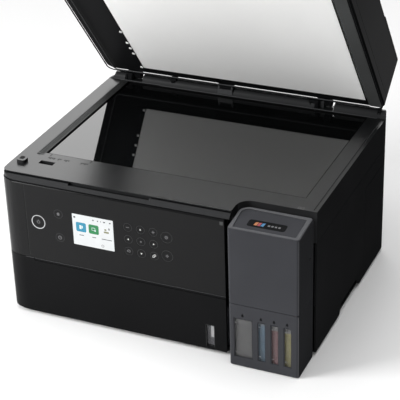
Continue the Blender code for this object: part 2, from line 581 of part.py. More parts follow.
def make_print_engine():
    inside = HALF - WALL - FIT
    shaft_x = (-inside + 3 * MM, PANEL_END)
    for name, y, finish in (("feed_roller", FEED_ROLLER_Y, "steel"), ("exit_roller", EXIT_ROLLER_Y, "rubber")):
        roller = piece(name, Shape().round("x", (y, ROLLER_HEIGHT), ROLLER_RADIUS, PAPER_LEFT, PAPER_RIGHT, 20),
                       finish, name)
        fuse(roller, Shape().round("x", (y, ROLLER_HEIGHT), SHAFT_RADIUS, *shaft_x, 12))
        gear_x = shaft_x[0] + GEAR_IN
        fuse(roller, Shape().prism("x", gear_outline(y, ROLLER_HEIGHT, GEAR_RADIUS), gear_x, gear_x + GEAR_WIDTH))
    beside = ROLLER_RADIUS + ROLLER_SPACE
    platen = piece("platen", Shape().box((PAPER_LEFT - 6 * MM, PAPER_RIGHT + 4 * MM),
                                         (EXIT_ROLLER_Y + beside, FEED_ROLLER_Y - beside),
                                         (PANEL_FOOT + MM, CARRIAGE_FOOT - 4 * MM)), "black_case")
    cut(platen, Shape().box((PAPER_LEFT, PAPER_RIGHT), (EXIT_ROLLER_Y + 20 * MM, FEED_ROLLER_Y - 20 * MM),
                            (CARRIAGE_FOOT - 7 * MM, CARRIAGE_FOOT)))

    sheet = RAIL_SHEET
    rail_x = (-inside, inside)
    belt_z = RAIL_FOOT + BELT_RISE
    belt_y = (RAIL_Y + sheet + 2.5 * MM, RAIL_Y + sheet + 2.5 * MM + BELT_WIDTH)
    drive_x = LEFT + BELT_IN
    idler_x = RIGHT - BELT_IN
    profile = ((RAIL_Y, RAIL_FOOT), (RAIL_Y + sheet, RAIL_FOOT), (RAIL_Y + sheet, RAIL_TOP - sheet),
               (RAIL_Y + RAIL_FLANGE, RAIL_TOP - sheet), (RAIL_Y + RAIL_FLANGE, RAIL_TOP), (RAIL_Y, RAIL_TOP))
    rail = piece("carriage_rail", Shape().prism("x", profile, *rail_x), "steel")
    fuse(rail, Shape().round("y", (idler_x, belt_z), PULLEY_RADIUS, RAIL_Y + MM, belt_y[1] + MM, 20))

    carriage_x = (RIGHT - CARRIAGE_IN - CARRIAGE_WIDTH, RIGHT - CARRIAGE_IN)
    front = RAIL_Y - FIT - CARRIAGE_DEPTH
    back = RAIL_Y + RAIL_FLANGE
    hook = ((front, CARRIAGE_FOOT), (RAIL_Y - FIT, CARRIAGE_FOOT), (RAIL_Y - FIT, RAIL_TOP + FIT),
            (back + FIT, RAIL_TOP + FIT), (back + FIT, RAIL_TOP - 6 * MM), (back + 3 * MM, RAIL_TOP - 6 * MM),
            (back + 3 * MM, RAIL_TOP + 3 * MM), (RAIL_Y - 4 * MM, CARRIAGE_TOP), (front, CARRIAGE_TOP))
    piece("print_carriage", Shape().prism("x", hook, *carriage_x), "black_case", "print_carriage")

    def loop(radius):
        return arc((idler_x, belt_z), radius, -90, 90, 8) + arc((drive_x, belt_z), radius, 90, 270, 8)
    belt = piece("carriage_belt", Shape().prism("y", loop(PULLEY_RADIUS + FIT + BELT_THICK), *belt_y), "rubber")
    cut(belt, Shape().prism("y", loop(PULLEY_RADIUS + FIT), belt_y[0] - MM, belt_y[1] + MM))
    motor_axis = (drive_x, 0, belt_z)
    piece("motor_pulley", Shape().round("y", (drive_x, belt_z), PULLEY_RADIUS, belt_y[0], belt_y[1] + MM, 20),
          "steel", "motor_pulley", (drive_x, belt_y[0], belt_z))
    motor_y = belt_y[1] + MM + FIT
    piece("carriage_motor", Shape().round("y", (drive_x, belt_z), MOTOR_RADIUS, motor_y, motor_y + MOTOR_LENGTH, 20),
          "steel", origin=motor_axis)

    station = piece("capping_station", Shape().box(
        (carriage_x[0] + 4 * MM, carriage_x[1] - 4 * MM), (front + 3 * MM, RAIL_Y - 8 * MM),
        (BASE_LIFT + WALL + FIT, CARRIAGE_FOOT - 2 * MM)), "inner_grey")
    cut(station, Shape().box((carriage_x[0] + 12 * MM, carriage_x[1] - 12 * MM),
                             (front + 10 * MM, RAIL_Y - 15 * MM), (CARRIAGE_FOOT - 9 * MM, CARRIAGE_FOOT)))


def gear_outline(y, z, radius, teeth=18, depth=1.6 * MM):
    points = []
    for index in range(teeth * 4):
        angle = 2 * math.pi * index / (teeth * 4)
        reach = radius if index % 4 < 2 else radius - depth
        points.append((y + reach * math.cos(angle), z + reach * math.sin(angle)))
    return points


def tank_spans():
    """X ranges of the four tanks, the first one wider."""
    spans = [(TANK_LEFT + TANK_MARGIN, TANK_LEFT + TANK_MARGIN + FIRST_TANK_WIDTH)]
    start = spans[0][1] + TANK_SPACE
    for index in range(3):
        spans.append((start + index * TANK_PITCH, start + index * TANK_PITCH + TANK_SLOT_WIDTH))
    return spans


def make_tank_unit():
    radii = [TANK_EDGE, TANK_EDGE, 2 * MM, TANK_ROUND]
    inner_radii = [MM, MM, MM, TANK_ROUND - WALL]
    plan = rounded_rect(TANK_LEFT, TANK_RIGHT, -TANK_OUT, TANK_REAR, radii)
    inner = rounded_rect(TANK_LEFT + WALL, TANK_RIGHT - WALL, -TANK_OUT + WALL, TANK_REAR - WALL, inner_radii)
    housing = piece("tank_housing", Shape().prism("z", plan, TANK_FOOT, TANK_SEAM), "tank_smoke")
    cut(housing, Shape().prism("z", inner, TANK_FOOT + WALL, TANK_SEAM + MM))
    windows = Shape()
    for low, high in tank_spans():
        windows.box((low + WINDOW_INSET, high - WINDOW_INSET), (-TANK_OUT - MM, -TANK_OUT + 2 * WALL),
                    (WINDOW_FOOT, WINDOW_TOP))
    cut(housing, windows)

    hood = piece("tank_hood", Shape().prism("z", plan, TANK_SEAM + SEAM, TANK_REAR_TOP), "tank_smoke", "tank_hood")
    cut(hood, Shape().prism("z", inner, TANK_SEAM, TANK_FRONT_TOP - WALL - MM))
    axis_y = TANK_REAR - HOOD_PIVOT
    axis_z = TANK_REAR_TOP - HOOD_PIVOT
    slope = [(-TANK_OUT - MM, TANK_FRONT_TOP), (axis_y, TANK_REAR_TOP)]
    slope += arc((axis_y, axis_z), HOOD_PIVOT, 90, 0, 5)[1:]
    slope += [(TANK_REAR + MM, axis_z), (TANK_REAR + MM, TANK_REAR_TOP + MM), (-TANK_OUT - MM, TANK_REAR_TOP + MM)]
    cut(hood, Shape().prism("x", slope, TANK_LEFT - MM, TANK_RIGHT + MM))
    side = TANK_MARGIN - FIT
    cut(hood, Shape().box((TANK_LEFT + side, TANK_RIGHT - side), (TANK_REAR - TANK_ROUND, TANK_REAR + MM),
                          (TANK_SEAM, axis_z - 3 * HOOD_PIVOT)))

    colours = ("black", "cyan", "magenta", "yellow")
    for colour, (low, high) in zip(colours, tank_spans()):
        middle = ((low + high) / 2, 0)
        tank = piece(f"ink_tank_{colour}", Shape().box(
            (low, high), (-TANK_OUT + WALL + FIT, TANK_REAR - WALL - 10 * MM), (TANK_FOOT + WALL + FIT, TANK_TOP)),
            f"ink_{colour}")
        fuse(tank, Shape().round("z", middle, NECK_RADIUS, TANK_TOP - MM, TANK_TOP + NECK_LENGTH, 16))
        name = f"tank_cap_{colour}"
        foot = TANK_TOP + FIT
        crown = TANK_TOP + NECK_LENGTH + FIT
        cap = piece(name, Shape().round("z", middle, NECK_RADIUS + FIT + CAP_WALL, foot, crown + CAP_TOP, 20),
                    f"ink_{colour}", name, (*middle, foot))
        cut(cap, Shape().round("z", middle, NECK_RADIUS + FIT, foot - MM, crown, 16))


def make_brow(body):
    """Sloped brow of the scanner unit over the control panel, with a shadow groove under the deck's edge."""
    top = DECK_HEIGHT - BROW_EDGE
    groove = top - BROW_GROOVE
    foot = LEDGE + SEAM
    rear = DECK_FRONT + WALL
    corner = [BROW_CORNER, 0, 0, 0]
    edge = rounded_rect(LEFT + FIT, NOTCH_X, BROW_FRONT, rear, corner)
    inside = rounded_rect(LEFT + GROOVE_DEPTH, NOTCH_X, BROW_FRONT + GROOVE_DEPTH, rear, corner)
    fuse(body, Shape().prism("z", edge, top, DECK_HEIGHT))
    fuse(body, Shape().prism("z", inside, groove - MM, top + 0.4 * MM))
    brow = Shape().prism("z", front_outline(BROW_SET, rear, NOTCH_X), foot, groove)
    fuse(body, brow)
    rise = groove - foot - MM
    slope = ((BROW_SET - MM, foot), (BROW_SET, foot + MM), (BROW_SET + rise, groove),
             (BROW_SET + rise, groove + 0.4 * BROW_GROOVE), (BROW_SET - MM, groove + 0.4 * BROW_GROOVE))
    cut(body, Shape().prism("x", slope, LEFT - MM, NOTCH_X + MM))
    recess = PANEL_END - RECESS_FROM_END
    cut(body, Shape().box((recess - RECESS_WIDTH, recess), (RECESS_FRONT, BROW_FRONT + GROOVE_DEPTH),
                          (RECESS_FOOT, groove + 0.4 * BROW_GROOVE)))


def make_scanner():
    rail_y = BODY_DEPTH - RAIL_RADIUS - 0.5 * MM
    rail_z = DECK_HEIGHT + 1.5 * MM
    crest = rail_z + RAIL_RADIUS
    body = piece("scanner_frame", Shape().prism("z", deck_outline(0), SCANNER_FOOT, crest), "deck_grey", "scanner")
    rise = rail_y - RAIL_RADIUS
    profile = [(0, DECK_HEIGHT), (rise - 0.5 * MM, DECK_HEIGHT)]
    profile += arc((rail_y, rail_z), RAIL_RADIUS, 180, 0, 10)
    profile += [(BODY_DEPTH + MM, rail_z), (BODY_DEPTH + MM, crest + MM), (0, crest + MM)]
    cut(body, Shape().prism("x", profile, LEFT - MM, RIGHT + MM))
    cut(body, Shape().prism("z", deck_outline(WALL), SCANNER_FOOT - MM, DECK_HEIGHT - DECK_PLATE))
    cut(body, Shape().box(GLASS_X, GLASS_Y, (DECK_HEIGHT - DECK_PLATE - MM, DECK_HEIGHT + MM)))
    border = GLASS_BORDER + FIT
    cut(body, Shape().box((GLASS_X[0] - border, GLASS_X[1] + border), (GLASS_Y[0] - border, GLASS_Y[1] + border),
                          (DECK_HEIGHT - DECK_PLATE - MM, DECK_HEIGHT - DECK_LIP)))
    make_brow(body)
    rail_end = ((LEFT - MM, DECK_HEIGHT), (LEFT, DECK_HEIGHT), *arc((LEFT, crest), RAIL_RADIUS * 1.2, -90, 0, 6),
                (LEFT + RAIL_RADIUS * 1.2, crest + MM), (LEFT - MM, crest + MM))
    cut(body, Shape().prism("y", rail_end, rise - MM, BODY_DEPTH + MM))
    chamfer = 9 * MM
    cut(body, Shape().prism("x", ((BODY_DEPTH - chamfer, SCANNER_FOOT - MM), (BODY_DEPTH + MM, SCANNER_FOOT - MM),
                                  (BODY_DEPTH + MM, SCANNER_FOOT + chamfer)), LEFT - MM, RIGHT + MM))
    bumper = (LEFT + BUMPER_IN, LEFT + BUMPER_IN + BUMPER_SIZE)
    bumper_y = LID_FRONT + BUMPER_BACK
    fuse(body, Shape().prism("z", rounded_rect(*bumper, bumper_y, bumper_y + BUMPER_SIZE,
                                               [3 * MM] * 4, 3), DECK_HEIGHT - MM, DECK_HEIGHT + BUMPER_HEIGHT))
    cut(body, Shape().box((LEFT + SLOT_X[0], LEFT + SLOT_X[1]), SLOT_Y,
                          (DECK_HEIGHT - 2 * DECK_PLATE, DECK_HEIGHT + MM)))
    for middle in HINGES:
        post = (middle - POST_LEFT, middle + POST_RIGHT)
        cut(body, Shape().box((post[0] - MM, middle + EAR_FAR + 5 * MM), (rise - MM, BODY_DEPTH + MM),
                              (DECK_HEIGHT + 0.6 * MM, crest + MM)))
        fuse(body, Shape().box(post, (LID_AXIS.y - EAR_RADIUS, LID_AXIS.y + EAR_RADIUS),
                               (DECK_HEIGHT - MM, LID_AXIS.z)))
        fuse(body, Shape().round("x", (LID_AXIS.y, LID_AXIS.z), EAR_RADIUS, *post, 20))
        fuse(body, Shape().round("x", (LID_AXIS.y, LID_AXIS.z), PIN_RADIUS, post[1] - MM, middle + EAR_FAR + MM, 12))

    pan_z = (SCANNER_FOOT + 0.4 * MM, SCANNER_FOOT + 0.4 * MM + 2 * MM)
    pan = piece("scanner_pan", Shape().prism("z", deck_outline(WALL + FIT), *pan_z), "black_case", "scanner")
    cut(pan, Shape().box((LEFT, RIGHT), (BODY_DEPTH - 12 * MM, BODY_DEPTH + MM), (0, DECK_HEIGHT)))
    rib_y = (GLASS_Y[0] + GLASS_Y[1]) / 2
    rib = (rib_y - GUIDE_RIB / 2, rib_y + GUIDE_RIB / 2)
    rib_top = pan_z[1] + 14 * MM
    fuse(pan, Shape().box((LEFT + 10 * MM, RIGHT - 10 * MM), rib, (pan_z[0] + 0.5 * MM, rib_top)))
    hinge_y = BODY_DEPTH - SCANNER_AXIS_IN
    hinge_z = SEAM_HEIGHT + SCANNER_AXIS_UP
    for side in (-1, 1):
        ear = (side * (HALF - 33 * MM), side * (HALF - 27 * MM))[::side]
        fuse(pan, Shape().box(ear, (BODY_DEPTH - 14 * MM, BODY_DEPTH - WALL - FIT),
                              (pan_z[0] + 0.5 * MM, hinge_z + 3 * MM)))
        cut(pan, Shape().round("x", (hinge_y, hinge_z), PIVOT_RADIUS + FIT, ear[0] - MM, ear[1] + MM, 12))
    glass_top = DECK_HEIGHT - DECK_LIP - FIT
    piece("platen_glass", Shape().box((GLASS_X[0] - GLASS_BORDER, GLASS_X[1] + GLASS_BORDER),
                                      (GLASS_Y[0] - GLASS_BORDER, GLASS_Y[1] + GLASS_BORDER),
                                      (glass_top - GLASS_THICK, glass_top)), "glass", "scanner")
    cis = piece("scan_carriage", Shape().box((GLASS_X[0] + MM, GLASS_X[0] + MM + CIS_WIDTH),
                                             (GLASS_Y[0] + 4 * MM, GLASS_Y[1] - 3 * MM),
                                             (rib_top - 5 * MM, glass_top - GLASS_THICK - 0.5 * MM)),
                "black_case", "scan_carriage")
    cut(cis, Shape().box((GLASS_X[0], GLASS_X[0] + 2 * CIS_WIDTH), (rib[0] - FIT, rib[1] + FIT),
                         (rib_top - 6 * MM, rib_top + FIT)))


def make_lid():
    base_top = LID_FOOT + LID_BASE_THICK
    plan = rounded_rect(*LID_EDGES, [LID_CORNER] * 4)
    x0, x1, y0, y1 = LID_EDGES
    mat_x = (LEFT + MAT_LEFT, RIGHT - MAT_RIGHT)
    mat_y = (LID_FRONT + MAT_FRONT, LID_REAR - MAT_REAR)

    base = piece("lid_base", Shape().prism("z", plan, LID_FOOT, base_top), "black_case", "lid")
    cut(base, Shape().box((mat_x[0] - FIT, mat_x[1] + FIT), (mat_y[0] - FIT, mat_y[1] + FIT),
                          (LID_FOOT - MM, LID_FOOT - MAT_PROUD + MAT_THICK + FIT)))
    skirt_foot = (y1 - MM, LID_FOOT + MM)
    skirt_top = (LID_AXIS.y - MM, LID_AXIS.z + EAR_RADIUS + 2 * FIT)
    fuse(base, Shape().prism("x", (skirt_foot, skirt_top, (skirt_top[0], skirt_top[1] + SKIRT_THICK),
                                   (skirt_foot[0], skirt_foot[1] + SKIRT_THICK)),
                             x0 + LID_CORNER, x1 - LID_CORNER))
    for middle in HINGES:
        ear = (middle + EAR_NEAR, middle + EAR_FAR)
        fuse(base, Shape().prism("x", [(y1 - MM, LID_AXIS.z + EAR_RADIUS), (y1 - MM, LID_FOOT)]
                                 + arc((LID_AXIS.y, LID_AXIS.z), EAR_RADIUS, -100, 90, 8), *ear))
        cut(base, Shape().round("x", (LID_AXIS.y, LID_AXIS.z), PIN_RADIUS + FIT, ear[0] - MM, ear[1] + 2 * MM, 12))

    piece("document_mat", Shape().box(mat_x, mat_y, (LID_FOOT - MAT_PROUD, LID_FOOT - MAT_PROUD + MAT_THICK)),
          "white_mat", "lid")

    foot = base_top + FIT
    wall = FEEDER_WALL
    feeder = piece("feeder_housing", Shape().prism("z", plan, foot, TRAY_FOOT - FIT), "black_case", "lid")
    cut(feeder, Shape().box((x0 - MM, COVER_END + MM), (y0 - MM, y1 + MM), (COVER_FOOT - FIT, LID_TOP)))
    cut(feeder, Shape().box((COVER_END, COVER_END + 7 * MM), (y0 - MM, y1 + MM), (TRAY_FOOT - 2 * MM, LID_TOP)))
    cut(feeder, Shape().box((x0 + wall, COVER_END - wall), (y0 + wall, y1 - wall), (foot + wall, LID_TOP)))
    well = ((COVER_END + 4 * MM, LID_TOP), (COVER_END + 4 * MM, foot + 12 * MM), (x1 - 6 * MM, TRAY_FOOT - MM),
            (x1 - 6 * MM, LID_TOP))
    cut(feeder, Shape().prism("y", well, y0 + 8 * MM, y1 - 8 * MM))
    under = ((COVER_END + 8 * MM, foot - MM), (COVER_END + 8 * MM, foot + 7.5 * MM),
             (x1 - 10 * MM, TRAY_FOOT - 6.5 * MM), (x1 - 10 * MM, foot - MM))
    cut(feeder, Shape().prism("y", under, y0 + wall, y1 - wall))
    cut(feeder, Shape().box((COVER_END - 2 * wall, COVER_END + 6 * MM), (y0 + 20 * MM, y1 - 20 * MM),
                            (foot + 14 * MM, foot + 21 * MM)))

    cover = piece("feeder_cover", Shape().prism("z", plan, COVER_FOOT, LID_TOP), "black_case", "feeder_cover")
    cut(cover, Shape().box((COVER_END - SEAM, x1 + MM), (y0 - MM, y1 + MM), (COVER_FOOT - MM, LID_TOP + MM)))
    cut(cover, Shape().prism("z", rounded_rect(x0 + WALL, COVER_END + MM, y0 + WALL, y1 - WALL,
                                               [LID_CORNER - WALL, 0, 0, LID_CORNER - WALL]),
                             COVER_FOOT - MM, LID_TOP - WALL))
    pivot = (x0 + COVER_PIVOT, COVER_FOOT + COVER_PIVOT)
    corner = arc(pivot, COVER_PIVOT, 180, 270, 5) + [(pivot[0], COVER_FOOT - MM), (x0 - MM, COVER_FOOT - MM),
                                                     (x0 - MM, pivot[1])]
    cut(cover, Shape().prism("y", corner, y0 - MM, y1 + MM))
    shoulder = 8 * MM
    top = arc((x0 + shoulder, LID_TOP - shoulder), shoulder, 90, 180, 6)
    top += [(x0 - MM, LID_TOP - shoulder), (x0 - MM, LID_TOP + MM), (x0 + shoulder, LID_TOP + MM)]
    cut(cover, Shape().prism("y", top, y0 - MM, y1 + MM))

    edge = COVER_END + 1.2 * MM
    tray = piece("feeder_tray", Shape().prism("z", rounded_rect(
        edge, x1, y0, y1, [0, LID_CORNER, LID_CORNER, 0]), TRAY_FOOT, LID_TOP), "black_case", "feeder_tray")
    grip_y = (y0 + y1) / 2
    cut(tray, Shape().box((x1 - 3 * MM, x1 + MM), (grip_y - 25 * MM, grip_y + 25 * MM), (LID_TOP - 2 * MM, LID_TOP + MM)))

    roller_at = (LEFT + FEED_ROLLER_IN, foot + wall + FEED_ROLLER_UP)
    roller = piece("feeder_roller", Shape().round("y", roller_at, FEED_ROLLER_RADIUS, grip_y - FEED_ROLLER_HALF,
                                                  grip_y + FEED_ROLLER_HALF, 20),
                   "rubber", "feeder_roller")
    fuse(roller, Shape().round("y", roller_at, SHAFT_RADIUS, y0 + wall + FIT, y1 - wall - FIT, 12))


def panel_buttons():
    """Name, x, z and radius of every button on the control panel."""
    x = PANEL_END - BUTTONS_FROM_END
    z = PANEL_FOOT + BUTTONS_UP
    names = (("minus", "up", "plus"), ("left", "ok", "right"), ("back", "down", "copy_type"))
    buttons = [("power_button", LEFT + POWER_FROM_SIDE, z, POWER_RADIUS)]
    for row, line in enumerate(names):
        for column, name in enumerate(line):
            buttons.append((f"button_{name}", x + (column - 1) * BUTTON_COLUMN, z + (1 - row) * BUTTON_ROW,
                            BUTTON_RADIUS))
    for name, side in (("stop", 1), ("start", -1)):
        buttons.append((f"button_{name}", x + 2 * BUTTON_COLUMN + 0.5 * MM, z + side * 12 * MM, BIG_BUTTON_RADIUS))
    return buttons


def make_control_panel():
    foot = PANEL_FOOT + FIT
    panel = piece("control_panel", Shape().prism(
        "z", front_outline(0, LEDGE_DEPTH, PANEL_END), foot, LEDGE), "panel_gloss", "panel")
    cut(panel, Shape().prism("z", front_outline(PANEL_WALL, LEDGE_DEPTH + MM, PANEL_END - PANEL_WALL),
                             foot + FOOT_RISE + PANEL_WALL, LEDGE - 2 * PANEL_WALL - 2 * MM))
    rear = LEDGE_DEPTH + MM
    slope = ((PANEL_WALL, foot - MM), (rear, foot - MM), (rear, foot + FOOT_RISE), (PANEL_WALL, foot))
    cut(panel, Shape().prism("x", slope, LEFT - MM, PANEL_END + MM))
    axis = (PANEL_PIVOT, LEDGE - PANEL_PIVOT)
    corner = arc(axis, PANEL_PIVOT, 180, 90, 6) + [(axis[0], LEDGE + MM), (-MM, LEDGE + MM), (-MM, axis[1])]
    cut(panel, Shape().prism("x", corner, LEFT - MM, PANEL_END + MM))
    holes = Shape()
    for _, x, z, radius in panel_buttons():
        holes.round("y", (x, z), radius + BUTTON_GAP, -MM, PANEL_WALL + MM)
    cut(panel, holes)
    screen_x = PANEL_END - SCREEN_FROM_END
    screen_z = PANEL_FOOT + BUTTONS_UP
    half_w, half_h = SCREEN_WIDTH / 2, SCREEN_HEIGHT / 2
    cut(panel, Shape().box((screen_x - half_w - FIT, screen_x + half_w + FIT), (-MM, SCREEN_THICK + 2 * FIT),
                           (screen_z - half_h - FIT, screen_z + half_h + FIT)))
    piece("display_screen", Shape().box((screen_x - half_w, screen_x + half_w), (FIT / 2, SCREEN_THICK),
                                        (screen_z - half_h, screen_z + half_h)), "screen", "panel")
    for name, x, z, radius in panel_buttons():
        button = piece(name, Shape().round("y", (x, z), radius, FIT / 2, BUTTON_DEPTH), "panel_gloss", "panel",
                       (x, 0, z))
        fuse(button, Shape().round("y", (x, z), radius + BUTTON_FLANGE, PANEL_WALL + FIT, PANEL_WALL + FIT + MM))


def make_frames():
    """Empties on the joint axes, each under the body that carries it."""
    frame("body")
    frame("scanner", "body", (0, BODY_DEPTH - SCANNER_AXIS_IN, SEAM_HEIGHT + SCANNER_AXIS_UP))
    frame("scan_carriage", "scanner", (GLASS_X[0], GLASS_Y[0], DECK_HEIGHT - DECK_PLATE))
    frame("lid", "scanner", LID_AXIS, -LID_OPEN)
    frame("feeder_cover", "lid", (LEFT + COVER_PIVOT, LID_FRONT, COVER_FOOT + COVER_PIVOT))
    frame("feeder_tray", "lid", (COVER_END + 3.4 * MM, LID_FRONT, TRAY_FOOT + TRAY_THICK / 2))
    frame("feeder_roller", "lid", (LEFT + FEED_ROLLER_IN, LID_FRONT,
                                   LID_FOOT + LID_BASE_THICK + FIT + FEEDER_WALL + FEED_ROLLER_UP))
    frame("rear_cover", "body", (0, BODY_DEPTH, REAR_COVER_FOOT))
    frame("panel", "body", (0, PANEL_PIVOT, LEDGE - PANEL_PIVOT))
    frame("cassette", "body", (0, 0, BASE_LIFT))
    frame("edge_guide_left", "cassette", (PAPER_LEFT, 0, BASE_LIFT))
    frame("edge_guide_right", "cassette", (PAPER_RIGHT, 0, BASE_LIFT))
    frame("output_tray", "body", (0, 0, TRAY_TOP))
    frame("feed_roller", "body", (0, FEED_ROLLER_Y, ROLLER_HEIGHT))
    frame("exit_roller", "body", (0, EXIT_ROLLER_Y, ROLLER_HEIGHT))
    frame("print_carriage", "body", (0, RAIL_Y, RAIL_TOP))
    frame("motor_pulley", "body", (LEFT + BELT_IN, RAIL_Y, RAIL_FOOT + BELT_RISE))
    frame("tank_hood", "body", (0, TANK_REAR - HOOD_PIVOT, TANK_REAR_TOP - HOOD_PIVOT))
    for colour in ("black", "cyan", "magenta", "yellow"):
        frame(f"tank_cap_{colour}", "body", (0, 0, TANK_TOP))


def main():
    clear_scene()
    make_frames()
    make_base()
    make_paper_path()
    make_print_engine()
    make_tank_unit()
    make_scanner()
    make_lid()
    make_control_panel()
    finish_surfaces()


main()
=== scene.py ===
import json
import math

import bmesh
import bpy
from mathutils import Matrix, Vector


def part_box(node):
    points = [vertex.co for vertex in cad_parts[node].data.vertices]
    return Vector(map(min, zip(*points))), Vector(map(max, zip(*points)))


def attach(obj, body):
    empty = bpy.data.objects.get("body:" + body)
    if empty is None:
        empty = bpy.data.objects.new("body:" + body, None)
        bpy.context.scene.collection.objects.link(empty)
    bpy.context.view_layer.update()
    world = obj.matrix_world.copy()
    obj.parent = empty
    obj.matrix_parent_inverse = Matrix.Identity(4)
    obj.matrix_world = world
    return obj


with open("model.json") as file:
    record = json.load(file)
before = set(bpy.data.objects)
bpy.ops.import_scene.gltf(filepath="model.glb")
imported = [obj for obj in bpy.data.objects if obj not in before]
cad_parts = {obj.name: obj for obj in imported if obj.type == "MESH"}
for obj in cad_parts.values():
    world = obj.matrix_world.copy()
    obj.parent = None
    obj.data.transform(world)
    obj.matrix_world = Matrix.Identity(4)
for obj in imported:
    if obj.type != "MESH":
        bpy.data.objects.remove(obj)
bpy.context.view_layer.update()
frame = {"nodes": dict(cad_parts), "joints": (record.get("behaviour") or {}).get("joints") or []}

MM = 0.001

# Sizes that the frame does not give
DECK_LIP = 1.6 * MM            # deck above the glass
GLASS_BORDER = 5.5 * MM        # glass held under the deck's edge
STRIP_WIDTH = 9 * MM           # frame left of the glass
LID_DEPTH = 262.2 * MM         # lid base, front edge to rear edge
TANK_SLOPE_RISE = 3.8 * MM     # top of the tank hood, front to rear
WINDOW_FOOT = 12.5 * MM        # tank windows above the table
WINDOW_TOP = 64 * MM
WINDOW_PLAY = 0.1 * MM         # window panes inside their openings
WINDOW_CORNER = 0.5 * MM
INK_LEVEL = 56 * MM            # ink in the tanks, above the table
CYAN_EXTRA = 3 * MM            # cyan stands higher
LEVEL_BLUR = 0.6 * MM          # half of the soft edge at the ink's level

PLATEN_RIBS = 18
TRAY_RIBS = 9
TRAY_CUTOUT = -18 * MM         # middle of the finger cutout in the output tray
COVER_RIBS = 12
SYMBOL_PROUD = 0.06 * MM       # printed symbols in front of a button, and into it
SYMBOL_ROOT = 0.12 * MM

# Shading
WELD_DISTANCE = 0.01 * MM
FLAT_ANGLE = math.radians(0.5)
BEVEL_ANGLE = math.radians(35)
SMOOTH_ANGLE = math.radians(32)
COMMON_BEVEL = 0.3             # mm, edges of a node that BEVEL does not name

# Studio
FLOOR_REACH = 6.0
WORLD_STRENGTH = 0.26
LENS = 129.1
SENSOR = 36
CAMERA_PLACE = (0.6292, -1.4052, 0.9358)
CAMERA_AZIMUTH = math.radians(24.36)
CAMERA_ELEVATION = math.radians(28.41)
CAMERA_ROLL = math.radians(-1.92)

NODES = frame["nodes"]
JOINTS = {joint["name"]: joint for joint in frame["joints"]}

# The lid is drawn closed, in the frame that its hinge turns it to, then carried back to rest
LID_JOINT = JOINTS["lid_hinge"]
LID_AXIS = Vector(LID_JOINT["pos_m"])
LID_OPEN = math.radians(LID_JOINT["range_deg"][1])
LID_REST = (Matrix.Translation(LID_AXIS) @ Matrix.Rotation(-LID_OPEN, 4, "X")
            @ Matrix.Translation(-LID_AXIS))
LID_CLOSED = LID_REST.inverted()


def closed_box(node):
    """Box of a lid node with the lid shut."""
    points = [LID_CLOSED @ vertex.co for vertex in NODES[node].data.vertices]
    low = Vector([min(point[axis] for point in points) for axis in range(3)])
    high = Vector([max(point[axis] for point in points) for axis in range(3)])
    return low, high


# ---------------------------------------------------------------- shapes

def arc(centre, radius, start, end, steps=8):
    """Points along a circle, from one angle in degrees to another."""
    points = []
    for step in range(steps + 1):
        angle = math.radians(start + (end - start) * step / steps)
        points.append((centre[0] + radius * math.cos(angle), centre[1] + radius * math.sin(angle)))
    return points


def circle(centre, radius, sides):
    return arc(centre, radius, 0, 360 - 360 / sides, sides - 1)


def rounded(x0, x1, y0, y1, radius, steps=6):
    """Outline of a rectangle with round corners."""
    points = []
    for x, y, start in ((x0 + radius, y0 + radius, 180), (x1 - radius, y0 + radius, 270),
                        (x1 - radius, y1 - radius, 0), (x0 + radius, y1 - radius, 90)):
        points += arc((x, y), radius, start, start + 90, steps)
    return points


class Shape:
    """Closed bodies gathered in one mesh."""

    AXES = {"x": (1, 2, 0), "y": (0, 2, 1), "z": (0, 1, 2)}

    def __init__(self):
        self.bm = bmesh.new()

    def prism(self, axis, outline, low, high):
        first, second, along = self.AXES[axis]
        verts = []
        for a, b in outline:
            place = [0, 0, 0]
            place[first], place[second], place[along] = a, b, low
            verts.append(self.bm.verts.new(place))
        made = bmesh.ops.extrude_face_region(self.bm, geom=[self.bm.faces.new(verts)])
        offset = Vector((0, 0, 0))
        offset[along] = high - low
        moved = [item for item in made["geom"] if isinstance(item, bmesh.types.BMVert)]
        bmesh.ops.translate(self.bm, verts=moved, vec=offset)
        return self

    def box(self, x, y, z):
        return self.prism("z", ((x[0], y[0]), (x[1], y[0]), (x[1], y[1]), (x[0], y[1])), *z)

    def disc(self, axis, centre, radius, low, high, sides=40):
        return self.prism(axis, circle(centre, radius, sides), low, high)

    def ring(self, axis, outer, inner, low, high):
        """Closed band between two outlines with the same number of points."""
        first, second, along = self.AXES[axis]
        loops = []
        for outline, level in ((outer, low), (outer, high), (inner, high), (inner, low)):
            loop = []
            for a, b in outline:
                place = [0, 0, 0]
                place[first], place[second], place[along] = a, b, level
                loop.append(self.bm.verts.new(place))
            loops.append(loop)
        count = len(outer)
        for near, far in zip(loops, loops[1:] + loops[:1]):
            for index in range(count):
                other = (index + 1) % count
                self.bm.faces.new((near[index], near[other], far[other], far[index]))
        return self

    def border(self, axis, sides, inset, radii, low, high, steps=6):
        """Band along a rectangle with round corners; radii are those of its outer and inner outline."""
        x0, x1, y0, y1 = sides
        return self.ring(axis, rounded(x0, x1, y0, y1, radii[0], steps),
                         rounded(x0 + inset, x1 - inset, y0 + inset, y1 - inset, radii[1], steps), low, high)

    def tube(self, points, radius, sides=10):
        """Round bar along points, closed at both ends."""
        loops = []
        for index, point in enumerate(points):
            ahead = Vector(points[min(index + 1, len(points) - 1)]) - Vector(points[max(index - 1, 0)])
            turn = ahead.to_track_quat("Z", "Y")
            loop = []
            for a, b in circle((0, 0), radius, sides):
                loop.append(self.bm.verts.new(Vector(point) + turn @ Vector((a, b, 0))))
            loops.append(loop)
        for near, far in zip(loops, loops[1:]):
            for index in range(sides):
                other = (index + 1) % sides
                self.bm.faces.new((near[index], near[other], far[other], far[index]))
        self.bm.faces.new(loops[0][::-1])
        self.bm.faces.new(loops[-1])
        return self


